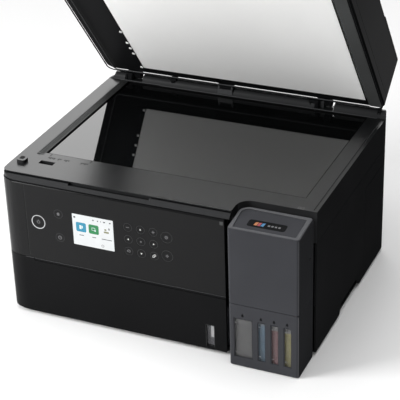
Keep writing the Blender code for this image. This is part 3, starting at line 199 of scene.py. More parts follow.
def geometry_group(name):
    """Empty node group that takes a mesh and gives one back."""
    group = bpy.data.node_groups.new(name, "GeometryNodeTree")
    for way in ("INPUT", "OUTPUT"):
        group.interface.new_socket("Geometry", in_out=way, socket_type="NodeSocketGeometry")
    return group, group.nodes.new("NodeGroupInput"), group.nodes.new("NodeGroupOutput")


def smooth_by_angle():
    """Node group that shades a mesh smooth except at its corners."""
    group, start, end = geometry_group("smooth_by_angle")
    nodes, links = group.nodes, group.links
    plain = nodes.new("GeometryNodeRemoveAttribute")
    plain.inputs["Name"].default_value = "custom_normal"
    round_faces = nodes.new("GeometryNodeSetShadeSmooth")
    round_faces.domain = "FACE"
    sharp_edges = nodes.new("GeometryNodeSetShadeSmooth")
    sharp_edges.domain = "EDGE"
    sharp_edges.inputs["Shade Smooth"].default_value = False
    angle = nodes.new("GeometryNodeInputMeshEdgeAngle")
    compare = nodes.new("FunctionNodeCompare")
    compare.operation = "GREATER_THAN"
    compare.inputs["B"].default_value = SMOOTH_ANGLE
    links.new(start.outputs[0], plain.inputs["Geometry"])
    links.new(plain.outputs["Geometry"], round_faces.inputs["Geometry"])
    links.new(round_faces.outputs["Geometry"], sharp_edges.inputs["Geometry"])
    links.new(angle.outputs["Unsigned Angle"], compare.inputs["A"])
    links.new(compare.outputs["Result"], sharp_edges.inputs["Selection"])
    links.new(sharp_edges.outputs["Geometry"], end.inputs[0])
    return group


SMOOTH = smooth_by_angle()


def soften(obj, width, segments=2):
    """Welds, rounds the edges and smooths the shading with modifiers."""
    weld = obj.modifiers.new("weld", "WELD")
    weld.merge_threshold = WELD_DISTANCE
    flat = obj.modifiers.new("flat faces", "DECIMATE")
    flat.decimate_type = "DISSOLVE"
    flat.angle_limit = FLAT_ANGLE
    if width:
        bevel = obj.modifiers.new("edges", "BEVEL")
        bevel.width = width
        bevel.segments = segments
        bevel.limit_method = "ANGLE"
        bevel.angle_limit = BEVEL_ANGLE
    shade = obj.modifiers.new("shading", "NODES")
    shade.node_group = SMOOTH
    even = obj.modifiers.new("even normals", "WEIGHTED_NORMAL")
    even.keep_sharp = True
    even.weight = 90


def add(name, shape, body, material, matrix=None, bevel=0.0):
    """New piece on a body, with its material."""
    bmesh.ops.recalc_face_normals(shape.bm, faces=shape.bm.faces)
    data = bpy.data.meshes.new(name)
    shape.bm.to_mesh(data)
    shape.bm.free()
    if matrix:
        data.transform(matrix)
    obj = bpy.data.objects.new(name, data)
    bpy.context.scene.collection.objects.link(obj)
    data.materials.append(material)
    soften(obj, bevel)
    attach(obj, body)
    return obj


# ---------------------------------------------------------------- materials

def new_material(name):
    made = bpy.data.materials.new(name)
    made.use_nodes = True
    return made, made.node_tree.nodes, made.node_tree.links, made.node_tree.nodes["Principled BSDF"]


def noise(nodes, links, scale, detail=3.0, rough=0.5):
    place = nodes.new("ShaderNodeTexCoord")
    texture = nodes.new("ShaderNodeTexNoise")
    texture.inputs["Scale"].default_value = scale
    texture.inputs["Detail"].default_value = detail
    texture.inputs["Roughness"].default_value = rough
    links.new(place.outputs["Object"], texture.inputs["Vector"])
    return texture


def ramp(nodes, links, source, low, high, spread=(0.35, 0.65)):
    blend = nodes.new("ShaderNodeValToRGB")
    blend.color_ramp.elements[0].position = spread[0]
    blend.color_ramp.elements[1].position = spread[1]
    blend.color_ramp.elements[0].color = (*low, 1)
    blend.color_ramp.elements[1].color = (*high, 1)
    links.new(source, blend.inputs["Fac"])
    return blend


def vary_gloss(nodes, links, source, shader, low, high):
    """Roughness that wanders between two values."""
    gloss = nodes.new("ShaderNodeMapRange")
    gloss.inputs["To Min"].default_value = low
    gloss.inputs["To Max"].default_value = high
    links.new(source, gloss.inputs["Value"])
    links.new(gloss.outputs["Result"], shader.inputs["Roughness"])


def moulded(name, colour, roughness, grain=900.0, depth=0.00003, specular=0.5, vary=0.12):
    """Injection-moulded plastic: fine spark texture, and slow changes of tone and gloss."""
    made, nodes, links, shader = new_material(name)
    shader.inputs["Specular IOR Level"].default_value = specular
    slow = noise(nodes, links, 7.0, 4.0)
    dark = [value * (1 - vary) for value in colour]
    light = [value * (1 + vary) for value in colour]
    tone = ramp(nodes, links, slow.outputs["Fac"], dark, light)
    links.new(tone.outputs["Color"], shader.inputs["Base Color"])
    vary_gloss(nodes, links, slow.outputs["Fac"], shader, roughness * 0.88, roughness * 1.12)
    fine = noise(nodes, links, grain, 2.0)
    bump = nodes.new("ShaderNodeBump")
    bump.inputs["Distance"].default_value = depth
    bump.inputs["Strength"].default_value = 0.6
    links.new(fine.outputs["Fac"], bump.inputs["Height"])
    links.new(bump.outputs["Normal"], shader.inputs["Normal"])
    return made


CASE = moulded("case_black", (0.0070, 0.0072, 0.0078), 0.48, specular=0.015)
SIDE = moulded("side_black", (0.0125, 0.0127, 0.0133), 0.55, specular=0.0)
DECK = moulded("deck_satin", (0.0080, 0.0085, 0.009), 0.30, specular=0.62, depth=0.00001, grain=1600)
PANEL = moulded("panel_piano_black", (0.0068, 0.0069, 0.0073), 0.14, depth=0.000003, specular=0.13, vary=0.05)
BUTTON = moulded("button_black", (0.0066, 0.0067, 0.0071), 0.16, depth=0.000004, specular=0.12)
FRONT = moulded("front_satin", (0.0044, 0.0045, 0.0049), 0.40, specular=0.06)
TANK = moulded("tank_smoke", (0.0425, 0.0435, 0.0485), 0.36, specular=0.03, depth=0.000012, grain=1500)
# Darker copy of the tank smoke for the right-facing faces of the tank unit: painted shade.
TANK_SIDE_PAINTED_SHADE = moulded("tank_side", (0.0205, 0.021, 0.0225), 0.36, specular=0.0, depth=0.000012, grain=1500)
# Lighter copy of the deck's black for the deck's forward faces: painted light on the brow.
BROW_PAINTED_LIGHT = moulded("brow_satin", (0.023, 0.0235, 0.0245), 0.40, specular=0.08, depth=0.00001, grain=1600)
# Lighter grey of the tank's top rim, also used for the painted highlights down the tank unit's front corners.
RIM_GREY_AND_HIGHLIGHT = moulded("tank_rim", (0.075, 0.076, 0.082), 0.30, specular=0.25, depth=0.000006)
MAT = moulded("mat_white", (0.86, 0.86, 0.85), 0.50, grain=350.0, depth=0.00005, vary=0.015)
MARGIN = moulded("margin_grey", (0.050, 0.052, 0.052), 0.40, specular=0.2)
WHITE = moulded("tab_white", (0.75, 0.75, 0.74), 0.5, vary=0.03)
LEGEND = moulded("legend_grey", (0.52, 0.52, 0.53), 0.5, vary=0.04)
FAINT = moulded("legend_faint", (0.13, 0.13, 0.135), 0.5, vary=0.04)
SEAM = moulded("seam_dark", (0.0015, 0.0015, 0.0016), 0.7, specular=0.05)
# Light grey for a few small parts, and for thin lines along edges and beads that paint highlights there.
EDGE = moulded("edge_light", (0.050, 0.051, 0.053), 0.42, specular=0.12)
INNER = moulded("inner_grey", (0.10, 0.10, 0.11), 0.5)
RUBBER = moulded("rubber", (0.012, 0.012, 0.012), 0.8, specular=0.2, grain=500.0)
BRASS = moulded("contact_pin", (0.55, 0.42, 0.20), 0.25)


def drawn_steel():
    """Sheet and shaft steel with fine draw lines along its length."""
    made, nodes, links, shader = new_material("drawn_steel")
    shader.inputs["Metallic"].default_value = 1.0
    place = nodes.new("ShaderNodeTexCoord")
    stretch = nodes.new("ShaderNodeMapping")
    stretch.inputs["Scale"].default_value = (4, 900, 900)
    lines = nodes.new("ShaderNodeTexNoise")
    lines.inputs["Scale"].default_value = 3.0
    links.new(place.outputs["Object"], stretch.inputs["Vector"])
    links.new(stretch.outputs["Vector"], lines.inputs["Vector"])
    tone = ramp(nodes, links, lines.outputs["Fac"], (0.42, 0.43, 0.45), (0.60, 0.61, 0.63))
    links.new(tone.outputs["Color"], shader.inputs["Base Color"])
    vary_gloss(nodes, links, lines.outputs["Fac"], shader, 0.22, 0.42)
    return made


def ink_tank(name, ink, bare, level):
    """Milky tank: the ink's tone up to its level, with a soft edge, and bare plastic above."""
    made, nodes, links, shader = new_material(name)
    shader.inputs["Roughness"].default_value = 0.32
    shader.inputs["Specular IOR Level"].default_value = 0.3
    place = nodes.new("ShaderNodeTexCoord")
    split = nodes.new("ShaderNodeSeparateXYZ")
    links.new(place.outputs["Object"], split.inputs["Vector"])
    height = nodes.new("ShaderNodeMapRange")
    height.inputs["From Min"].default_value = level - LEVEL_BLUR
    height.inputs["From Max"].default_value = level + LEVEL_BLUR
    links.new(split.outputs["Z"], height.inputs["Value"])
    cloudy = ramp(nodes, links, noise(nodes, links, 60.0, 4.0).outputs["Fac"],
                  [value * 0.88 for value in ink], [value * 1.12 for value in ink])
    blend = nodes.new("ShaderNodeMix")
    blend.data_type = "RGBA"
    links.new(height.outputs["Result"], blend.inputs["Factor"])
    links.new(cloudy.outputs["Color"], blend.inputs["A"])
    blend.inputs["B"].default_value = (*bare, 1)
    links.new(blend.outputs["Result"], shader.inputs["Base Color"])
    return made


BARE = (0.20, 0.20, 0.20)
INKS = {
    "black": ink_tank("ink_black", (0.098, 0.098, 0.098), (0.125, 0.125, 0.125), INK_LEVEL),
    "cyan": ink_tank("ink_cyan", (0.098, 0.158, 0.215), (0.15, 0.19, 0.22), INK_LEVEL + CYAN_EXTRA),
    "magenta": ink_tank("ink_magenta", (0.205, 0.110, 0.115), BARE, INK_LEVEL),
    "yellow": ink_tank("ink_yellow", (0.255, 0.235, 0.105), BARE, INK_LEVEL),
}
CAPS = {
    "black": moulded("cap_black", (0.015, 0.015, 0.017), 0.35),
    "cyan": moulded("cap_cyan", (0.02, 0.20, 0.42), 0.35),
    "magenta": moulded("cap_magenta", (0.42, 0.02, 0.12), 0.35),
    "yellow": moulded("cap_yellow", (0.62, 0.45, 0.03), 0.35),
}


def clear(name, tint, cover, roughness):
    """Clear plastic or glass: a thin tinted film over what lies behind it."""
    made, nodes, links, shader = new_material(name)
    shader.inputs["Alpha"].default_value = cover
    shader.inputs["Specular IOR Level"].default_value = 0.6
    tone = ramp(nodes, links, noise(nodes, links, 25.0).outputs["Fac"], [value * 0.9 for value in tint], tint)
    links.new(tone.outputs["Color"], shader.inputs["Base Color"])
    smears = noise(nodes, links, 8.0).outputs["Fac"]
    vary_gloss(nodes, links, smears, shader, roughness * 0.8, roughness * 1.2)
    return made


WINDOW = clear("window_clear", (0.12, 0.12, 0.125), 0.12, 0.18)


def platen_glass():
    """Float glass over the dark scanner; it mirrors the lid, with faint smears in its gloss."""
    made, nodes, links, shader = new_material("platen_glass")
    shader.inputs["Specular IOR Level"].default_value = 0.66
    shader.inputs["Coat Weight"].default_value = 0.15
    shader.inputs["Coat Roughness"].default_value = 0.02
    tone = ramp(nodes, links, noise(nodes, links, 9.0).outputs["Fac"],
                (0.0020, 0.0022, 0.0023), (0.003, 0.0033, 0.0034))
    links.new(tone.outputs["Color"], shader.inputs["Base Color"])
    vary_gloss(nodes, links, noise(nodes, links, 6.0, 5.0).outputs["Fac"], shader, 0.012, 0.045)
    return made


def lit(name, colour, strength, vary=0.03):
    """Part of the lit display; its glow is its own colour."""
    made, nodes, links, shader = new_material(name)
    speckle = noise(nodes, links, 90.0).outputs["Fac"]
    glow = ramp(nodes, links, speckle, [value * (1 - vary) for value in colour], colour)
    unlit = ramp(nodes, links, speckle, [value * 0.10 for value in colour],
                 [value * 0.12 for value in colour])
    links.new(unlit.outputs["Color"], shader.inputs["Base Color"])
    links.new(glow.outputs["Color"], shader.inputs["Emission Color"])
    shader.inputs["Emission Strength"].default_value = strength
    shader.inputs["Roughness"].default_value = 0.12
    return made


GLASS = platen_glass()
STEEL = drawn_steel()
SCREEN = lit("screen_white", (0.92, 0.95, 0.96), 0.80)
SCREEN_BLUE = lit("screen_blue", (0.02, 0.29, 0.46), 0.9)
SCREEN_GREEN = lit("screen_green", (0.01, 0.24, 0.07), 0.9)
SCREEN_GREY = lit("screen_grey", (0.10, 0.11, 0.12), 0.9)
SCREEN_OCHRE = lit("screen_ochre", (0.26, 0.26, 0.15), 0.9)
SCREEN_BRIGHT = lit("screen_bright", (0.80, 0.92, 0.92), 0.9)
LED = lit("led_white", (0.85, 0.86, 0.88), 0.85)


def faces_towards(name, axis, least, finish):
    """Node group that gives another material to the faces that look along one axis; a lighter or darker copy
    of a part's black there paints light or shade on that side.
    """
    group, start, end = geometry_group(name)
    nodes, links = group.nodes, group.links
    normal = nodes.new("GeometryNodeInputNormal")
    along = nodes.new("ShaderNodeVectorMath")
    along.operation = "DOT_PRODUCT"
    along.inputs[1].default_value = axis
    steep = nodes.new("FunctionNodeCompare")
    steep.operation = "GREATER_THAN"
    steep.inputs["B"].default_value = least
    change = nodes.new("GeometryNodeSetMaterial")
    change.inputs["Material"].default_value = finish
    links.new(normal.outputs["Normal"], along.inputs[0])
    links.new(along.outputs["Value"], steep.inputs["A"])
    links.new(steep.outputs["Result"], change.inputs["Selection"])
    links.new(start.outputs["Geometry"], change.inputs["Geometry"])
    links.new(change.outputs["Geometry"], end.inputs["Geometry"])
    return group


RIGHTWARD, FORWARD = (1, 0, 0), (0, -1, 0)
# Painted light and shade by face direction: right-facing faces get a matte black or darker copy (painted
# shade), the deck's forward faces a lighter black (painted light).
TURNED = {
    "scanner_frame": (faces_towards("dark sides", RIGHTWARD, 0.75, SIDE),
                      faces_towards("satin brow", FORWARD, 0.35, BROW_PAINTED_LIGHT)),
    "tank_housing": (faces_towards("dark tank side", RIGHTWARD, 0.75, TANK_SIDE_PAINTED_SHADE),),
    "tank_hood": (faces_towards("dark hood side", RIGHTWARD, 0.75, TANK_SIDE_PAINTED_SHADE),),
}
FINISH = {
    "scanner_frame": DECK, "platen_glass": GLASS, "document_mat": MAT, "control_panel": PANEL,
    "display_screen": SCREEN, "tank_housing": TANK, "tank_hood": TANK,
    "cassette_front": FRONT, "output_tray": FRONT,
    "left_side_panel": SIDE, "right_side_panel": SIDE, "maintenance_cover": SIDE,
    "paper_cassette": INNER, "power_supply": INNER, "capping_station": INNER,
    "feed_roller": STEEL, "carriage_rail": STEEL, "motor_pulley": STEEL, "carriage_motor": STEEL,
    "exit_roller": RUBBER, "feeder_roller": RUBBER, "carriage_belt": RUBBER,
}
for colour in INKS:
    FINISH[f"ink_tank_{colour}"] = INKS[colour]
    FINISH[f"tank_cap_{colour}"] = CAPS[colour]

# Round edges of the larger nodes, in mm
BEVEL = {"control_panel": 0.6, "scanner_frame": 0.7, "tank_hood": 1.0, "tank_housing": 0.8,
         "cassette_front": 0.7, "lid_base": 1.0, "feeder_housing": 0.8, "feeder_cover": 0.8,
         "feeder_tray": 0.8, "document_mat": 1.0}

for name, node in NODES.items():
    material = FINISH.get(name)
    if material is None:
        material = RUBBER if name.startswith("foot") else BUTTON if "button" in name else CASE
    for slot in range(len(node.material_slots)):
        node.material_slots[slot].material = material
    soften(node, BEVEL.get(name, COMMON_BEVEL) * MM)
    for group in TURNED.get(name, ()):
        node.modifiers.new(group.name, "NODES").node_group = group


# ---------------------------------------------------------------- scanner deck

def make_deck_details():
    low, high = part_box("scanner_frame")
    glass_low, glass_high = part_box("platen_glass")
    deck = glass_high.z + DECK_LIP
    body, slot = "scanner_unit", "deck_grey"
    x0, x1 = glass_low.x + GLASS_BORDER, glass_high.x - GLASS_BORDER
    y0, y1 = glass_low.y + GLASS_BORDER, glass_high.y - GLASS_BORDER
    printed = (deck - 0.1 * MM, deck + 0.05 * MM)

    gasket = Shape().border("z", (x0, x1, y0, y1), 0.9 * MM, (0.4 * MM, 0.4 * MM),
                            glass_high.z + 0.02 * MM, deck - 0.2 * MM)
    add("glass_gasket", gasket, body, SEAM)

    strip = Shape()
    left, right = x0 - STRIP_WIDTH, x0 - 0.2 * MM
    strip.prism("y", ((left, deck - 0.2 * MM), (right, deck - 0.2 * MM), (right, deck + 0.1 * MM),
                      (left + 0.6 * MM, deck + 1.1 * MM), (left, deck + 0.9 * MM)), y0 - 5 * MM, y1 - MM)
    add("scan_strip_frame", strip, body, MARGIN, bevel=0.15 * MM)
    ribs = Shape()
    for index in range(3):
        x = left + (2.2 + 2.2 * index) * MM
        top = deck + (1.05 - 0.27 * index) * MM
        ribs.tube([(x, y0 - 3 * MM, top), (x, y1 - 4 * MM, top)], 0.28 * MM, 8)
    add("scan_strip_ribs", ribs, body, DECK)

    marks = Shape()
    for group, (start, count) in enumerate(((9, 4), (22, 2), (30, 3), (52, 4))):
        for index in range(count):
            x = x0 + start * MM + index * 2.4 * MM
            tall = (2.6 + 1.6 * ((index + group) % 2)) * MM
            marks.box((x, x + 1.2 * MM), (y0 - 8.5 * MM - tall, y0 - 8.5 * MM), printed)
    for x in (x0 + 8.5 * MM, x0 + 61 * MM):
        marks.box((x, x + 0.8 * MM), (y0 - 6.5 * MM, y0 - 0.6 * MM), printed)
    add("size_marks", marks, body, SEAM)

    arrow_x, arrow_y = high.x - 19.5 * MM, low.y + 38 * MM
    arrow = Shape()
    arrow.border("z", (arrow_x - 3.4 * MM, arrow_x + 3.4 * MM, arrow_y - 2.4 * MM, arrow_y + 2.4 * MM),
                 0.5 * MM, (0.5 * MM, 0.4 * MM), *printed)
    arrow.prism("z", ((arrow_x - MM, arrow_y - 0.9 * MM), (arrow_x + 1.2 * MM, arrow_y),
                      (arrow_x - MM, arrow_y + 0.9 * MM)), *printed)
    add("corner_mark", arrow, body, FAINT)

    top = deck + 3.9 * MM
    pad = Shape().prism("z", rounded(low.x + 9.9 * MM, low.x + 14.9 * MM, y0 - 30 * MM, y0 - 24 * MM, MM),
                        top - 0.4 * MM, top + 0.5 * MM)
    add("bumper_pad", pad, body, RUBBER, bevel=0.25 * MM)

    # Light bead on the deck's right border paints a highlight; the flat dark strip beside it paints the shade
    # of a groove.
    bead_x, bead_z = high.x - 4 * MM, deck + 0.05 * MM
    notch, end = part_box("tank_hood")[1].y + 6 * MM, y1 + 2 * MM
    bead = Shape().tube([(bead_x, notch, bead_z), (bead_x, end, bead_z)], 0.35 * MM, 8)
    add("deck_bead_right", bead, body, EDGE)
    line = Shape().box((bead_x - 1.3 * MM, bead_x - 0.6 * MM), (notch, end),
                       (deck - 0.1 * MM, deck + 0.03 * MM))
    add("deck_line_right", line, body, SEAM)

    # Light line along the foot of the rear rail: a painted highlight on the rail's edge.
    rail_y, rail_z = high.y - 15.2 * MM, deck + 0.5 * MM
    step = low.x + 74 * MM
    set_in = rail_y - 1.2 * MM
    bead = Shape().tube([(low.x + 16 * MM, rail_y, rail_z), (step - MM, rail_y, rail_z),
                         (step, set_in, rail_z), (high.x - 10 * MM, set_in, rail_z)], 0.5 * MM, 8)
    add("rail_foot_bead", bead, body, EDGE)


def make_hinge_details():
    """Brackets, knuckle and damper housing along the rear rail."""
    low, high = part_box("scanner_frame")
    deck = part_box("platen_glass")[1].z + DECK_LIP
    y = high.y - 8 * MM
    body, slot = "scanner_unit", "deck_grey"

    for name, x0, x1, tall in (("hinge_bracket_left", 23.5, 33, 10),
                               ("hinge_bracket_right", 275.5, 288, 10.5), ("hinge_clip_right", 364, 368, 10)):
        left, right, top = low.x + x0 * MM, low.x + x1 * MM, deck + tall * MM
        profile = [(y - 5.5 * MM, deck + MM), (y + 2 * MM, deck + MM), (y + 2 * MM, top)]
        profile += arc((y - 2.5 * MM, top - 2 * MM), 2 * MM, 90, 180, 5)
        bracket = Shape().prism("x", profile, left, right)
        for inset in (0.18, 0.82):
            x = left + (right - left) * inset
            bracket.prism("x", [(y - 6.6 * MM, deck + MM), (y - 5 * MM, deck + MM),
                                (y - 3.6 * MM, top - 1.4 * MM), (y - 5.2 * MM, top - 2.6 * MM)],
                          x - 0.7 * MM, x + 0.7 * MM)
        add(name, bracket, body, CASE, bevel=0.3 * MM)

    x = low.x + 91 * MM
    knuckle = Shape().disc("x", (y, deck + 7.5 * MM), 4.4 * MM, x - 4 * MM, x + 4 * MM, 24)
    knuckle.box((x - 2.4 * MM, x + 2.4 * MM), (y - 5.5 * MM, y), (deck + MM, deck + 8 * MM))
    add("hinge_knuckle", knuckle, body, CASE, bevel=0.3 * MM)

    x0, x1 = low.x + 154 * MM, low.x + 174 * MM
    foot, top = deck + 1.5 * MM, deck + 14 * MM
    cradle = Shape().box((x0, x1), (y - 7 * MM, y + 1.5 * MM), (foot, foot + 6 * MM))
    for left in (x0, x1 - 2.2 * MM):
        cradle.prism("x", [(y - 7 * MM, foot), (y + 1.5 * MM, foot), (y + 1.5 * MM, top)]
                     + arc((y - 3 * MM, top - 2.5 * MM), 2.5 * MM, 90, 170, 5), left, left + 2.2 * MM)
    cradle.box((x0, x1), (y - 0.5 * MM, y + 1.5 * MM), (foot, top - 1.5 * MM))
    add("damper_cradle", cradle, body, EDGE, bevel=0.3 * MM)
    damper = Shape().disc("x", (y - 3.2 * MM, foot + 8 * MM), 2.6 * MM, x0 + 2.5 * MM, x1 - 2.5 * MM, 24)
    add("damper_barrel", damper, body, CASE, bevel=0.2 * MM)


# ---------------------------------------------------------------- lid

def make_lid_details():
    """Underside and margins of the lid, drawn shut and turned to rest."""
    low, high = closed_box("lid_base")
    mat_low, mat_high = closed_box("document_mat")
    foot = low.z
    rear = low.y + LID_DEPTH
    body, slot = "lid", "black_case"

    tabs = Shape()
    for up in (20, 54, 67, 80, 106):
        y = rear - up * MM
        tabs.prism("z", rounded(mat_low.x - 3.2 * MM, mat_low.x + 0.3 * MM, y - 1.4 * MM, y + 1.4 * MM,
                                0.6 * MM, 3), foot - 1.0 * MM, foot + 0.3 * MM)
    add("mat_tabs", tabs, body, WHITE, LID_REST, bevel=0.2 * MM)

    # Light line along the inner rim of the lid's underside: a painted highlight on the rim's edge.
    inset = 11 * MM
    left, right = low.x + inset, mat_high.x + 2.4 * MM
    bend = arc((left + 5 * MM, rear - inset + 2 * MM), 5 * MM, 180, 90, 5)
    path = [(left, low.y + inset)] + bend + [(right, rear - inset + 7 * MM)]
    bead = Shape().tube([(x, y, foot) for x, y in path], 0.65 * MM, 8)
    add("lid_rim_bead", bead, body, EDGE, LID_REST)
    rim = Shape().border("z", (low.x + 1.2 * MM, high.x - 1.2 * MM, low.y + 1.2 * MM, rear - 1.2 * MM),
                         1.8 * MM, (9 * MM, 7.5 * MM), foot - 0.7 * MM, foot + 0.2 * MM)
    add("lid_edge_ridge", rim, body, CASE, LID_REST, bevel=0.3 * MM)

    margin = Shape().prism("z", rounded(mat_high.x + 2.6 * MM, high.x - 3.4 * MM, low.y + 6 * MM,
                                        rear - 6 * MM, 2 * MM), foot - 0.6 * MM, foot + 0.2 * MM)
    add("lid_margin_right", margin, body, MARGIN, LID_REST, bevel=0.3 * MM)
    # Dark band round the mat: painted shadow in the gap between the mat and the lid.
    shadow = Shape().ring("z", rounded(mat_low.x - 1.3 * MM, mat_high.x + 1.5 * MM, mat_low.y - 1.3 * MM,
                                       mat_high.y + 1.3 * MM, MM),
                          rounded(mat_low.x - 0.1 * MM, mat_high.x + 0.1 * MM, mat_low.y - 0.1 * MM,
                                  mat_high.y + 0.1 * MM, MM), foot - 0.15 * MM, foot + 0.1 * MM)
    add("mat_edge_line", shadow, body, SEAM, LID_REST)

    bosses = Shape()
    for along in (52, 150, 205, 320):
        x = low.x + along * MM
        bosses.prism("z", rounded(x - 6 * MM, x + 6 * MM, rear - 12 * MM, rear - 8.5 * MM, MM, 3),
                     foot - 0.8 * MM, foot + 0.2 * MM)
    add("lid_rear_bosses", bosses, body, CASE, LID_REST, bevel=0.25 * MM)


def make_feeder_details():
    """Feeder tray and cover as seen on the lid's upper face."""
    tray_low, tray_high = closed_box("feeder_tray")
    cover_high = closed_box("feeder_cover")[1]
    top = tray_high.z
    middle = (tray_low.y + tray_high.y) / 2
    marks = Shape()
    for index in range(3):
        x = tray_low.x + 16 * MM + index * 5 * MM
        near, far, thick = middle - 4 * MM, middle + 4 * MM, 1.1 * MM
        marks.prism("z", ((x, near), (x + 2.6 * MM, middle), (x, far), (x + thick, far),
                          (x + 2.6 * MM + thick, middle), (x + thick, near)), top - 0.1 * MM, top + 0.05 * MM)
    add("feed_direction_marks", marks, "feeder_tray", FAINT, LID_REST)
    panel = Shape().border("z", (tray_low.x + 9 * MM, tray_high.x - 9 * MM, tray_low.y + 9 * MM,
                                 tray_high.y - 9 * MM), 1.2 * MM, (7 * MM, 6 * MM),
                           top - 0.2 * MM, top + 0.25 * MM)
    add("feeder_tray_ridge", panel, "feeder_tray", CASE, LID_REST, bevel=0.15 * MM)
    grip = Shape()
    for index in range(5):
        y = middle - 16 * MM + index * 8 * MM
        grip.prism("y", arc((cover_high.x - 9 * MM, top - 0.35 * MM), 0.8 * MM, 0, 180, 6),
                   y - 3 * MM, y + 3 * MM)
    add("feeder_cover_grip", grip, "feeder_cover", CASE, LID_REST)


# ---------------------------------------------------------------- control panel

def symbol(shape, kind, x, z, size, face):
    """Flat generic symbol on a face that looks towards -Y."""
    low, high = face - SYMBOL_PROUD, face + SYMBOL_ROOT
    half = size / 2
    thin = size * 0.16
    turn = {"up": 90, "down": 270, "left": 180, "right": 0}
    if kind in turn:
        corners = arc((0, 0), half, turn[kind], turn[kind] + 240, 2)
        shape.prism("y", [(x + a, z + b) for a, b in corners], low, high)
    elif kind in ("plus", "minus"):
        shape.box((x - half, x + half), (low, high), (z - thin / 2, z + thin / 2))
        if kind == "plus":
            for side in (-1, 1):
                shape.box((x - thin / 2, x + thin / 2), (low, high),
                          sorted((z + side * thin / 2, z + side * half)))
    elif kind in ("ring", "stop", "start", "ok"):
        sides = {"ring": 32, "stop": 32, "start": 4, "ok": 32}[kind]
        reach = half * (0.55 if kind == "ok" else 1)
        shape.ring("y", circle((x, z), reach, sides), circle((x, z), reach - thin, sides), low, high)
        if kind == "stop":
            shape.box((x - half * 0.3, x + half * 0.3), (low, high), (z - half * 0.3, z + half * 0.3))
        if kind == "start":
            shape.disc("y", (x, z), half * 0.28, low, high, 16)
    elif kind == "back":
        shape.ring("y", arc((x, z), half, -60, 180, 14), arc((x, z), half - thin, -60, 180, 14), low, high)
        shape.prism("y", ((x - half * 1.35, z + half * 0.1), (x - half * 0.1, z + half * 0.1),
                          (x - half * 0.75, z - half * 0.7)), low, high)
    elif kind == "sheets":
        for shift in (-0.22, 0.22):
            a, b = x + shift * size, z + shift * size
            reach = half * 0.62
            shape.border("y", (a - reach, a + reach, b - reach, b + reach), thin * 0.7,
                         (reach * 0.2, reach * 0.2), low, high, 2)
    elif kind == "home":
        shape.prism("y", ((x - half, z), (x + half, z), (x, z + half)), low, high)
        shape.box((x - half * 0.62, x + half * 0.62), (low, high), (z - half * 0.8, z - thin * 0.4))


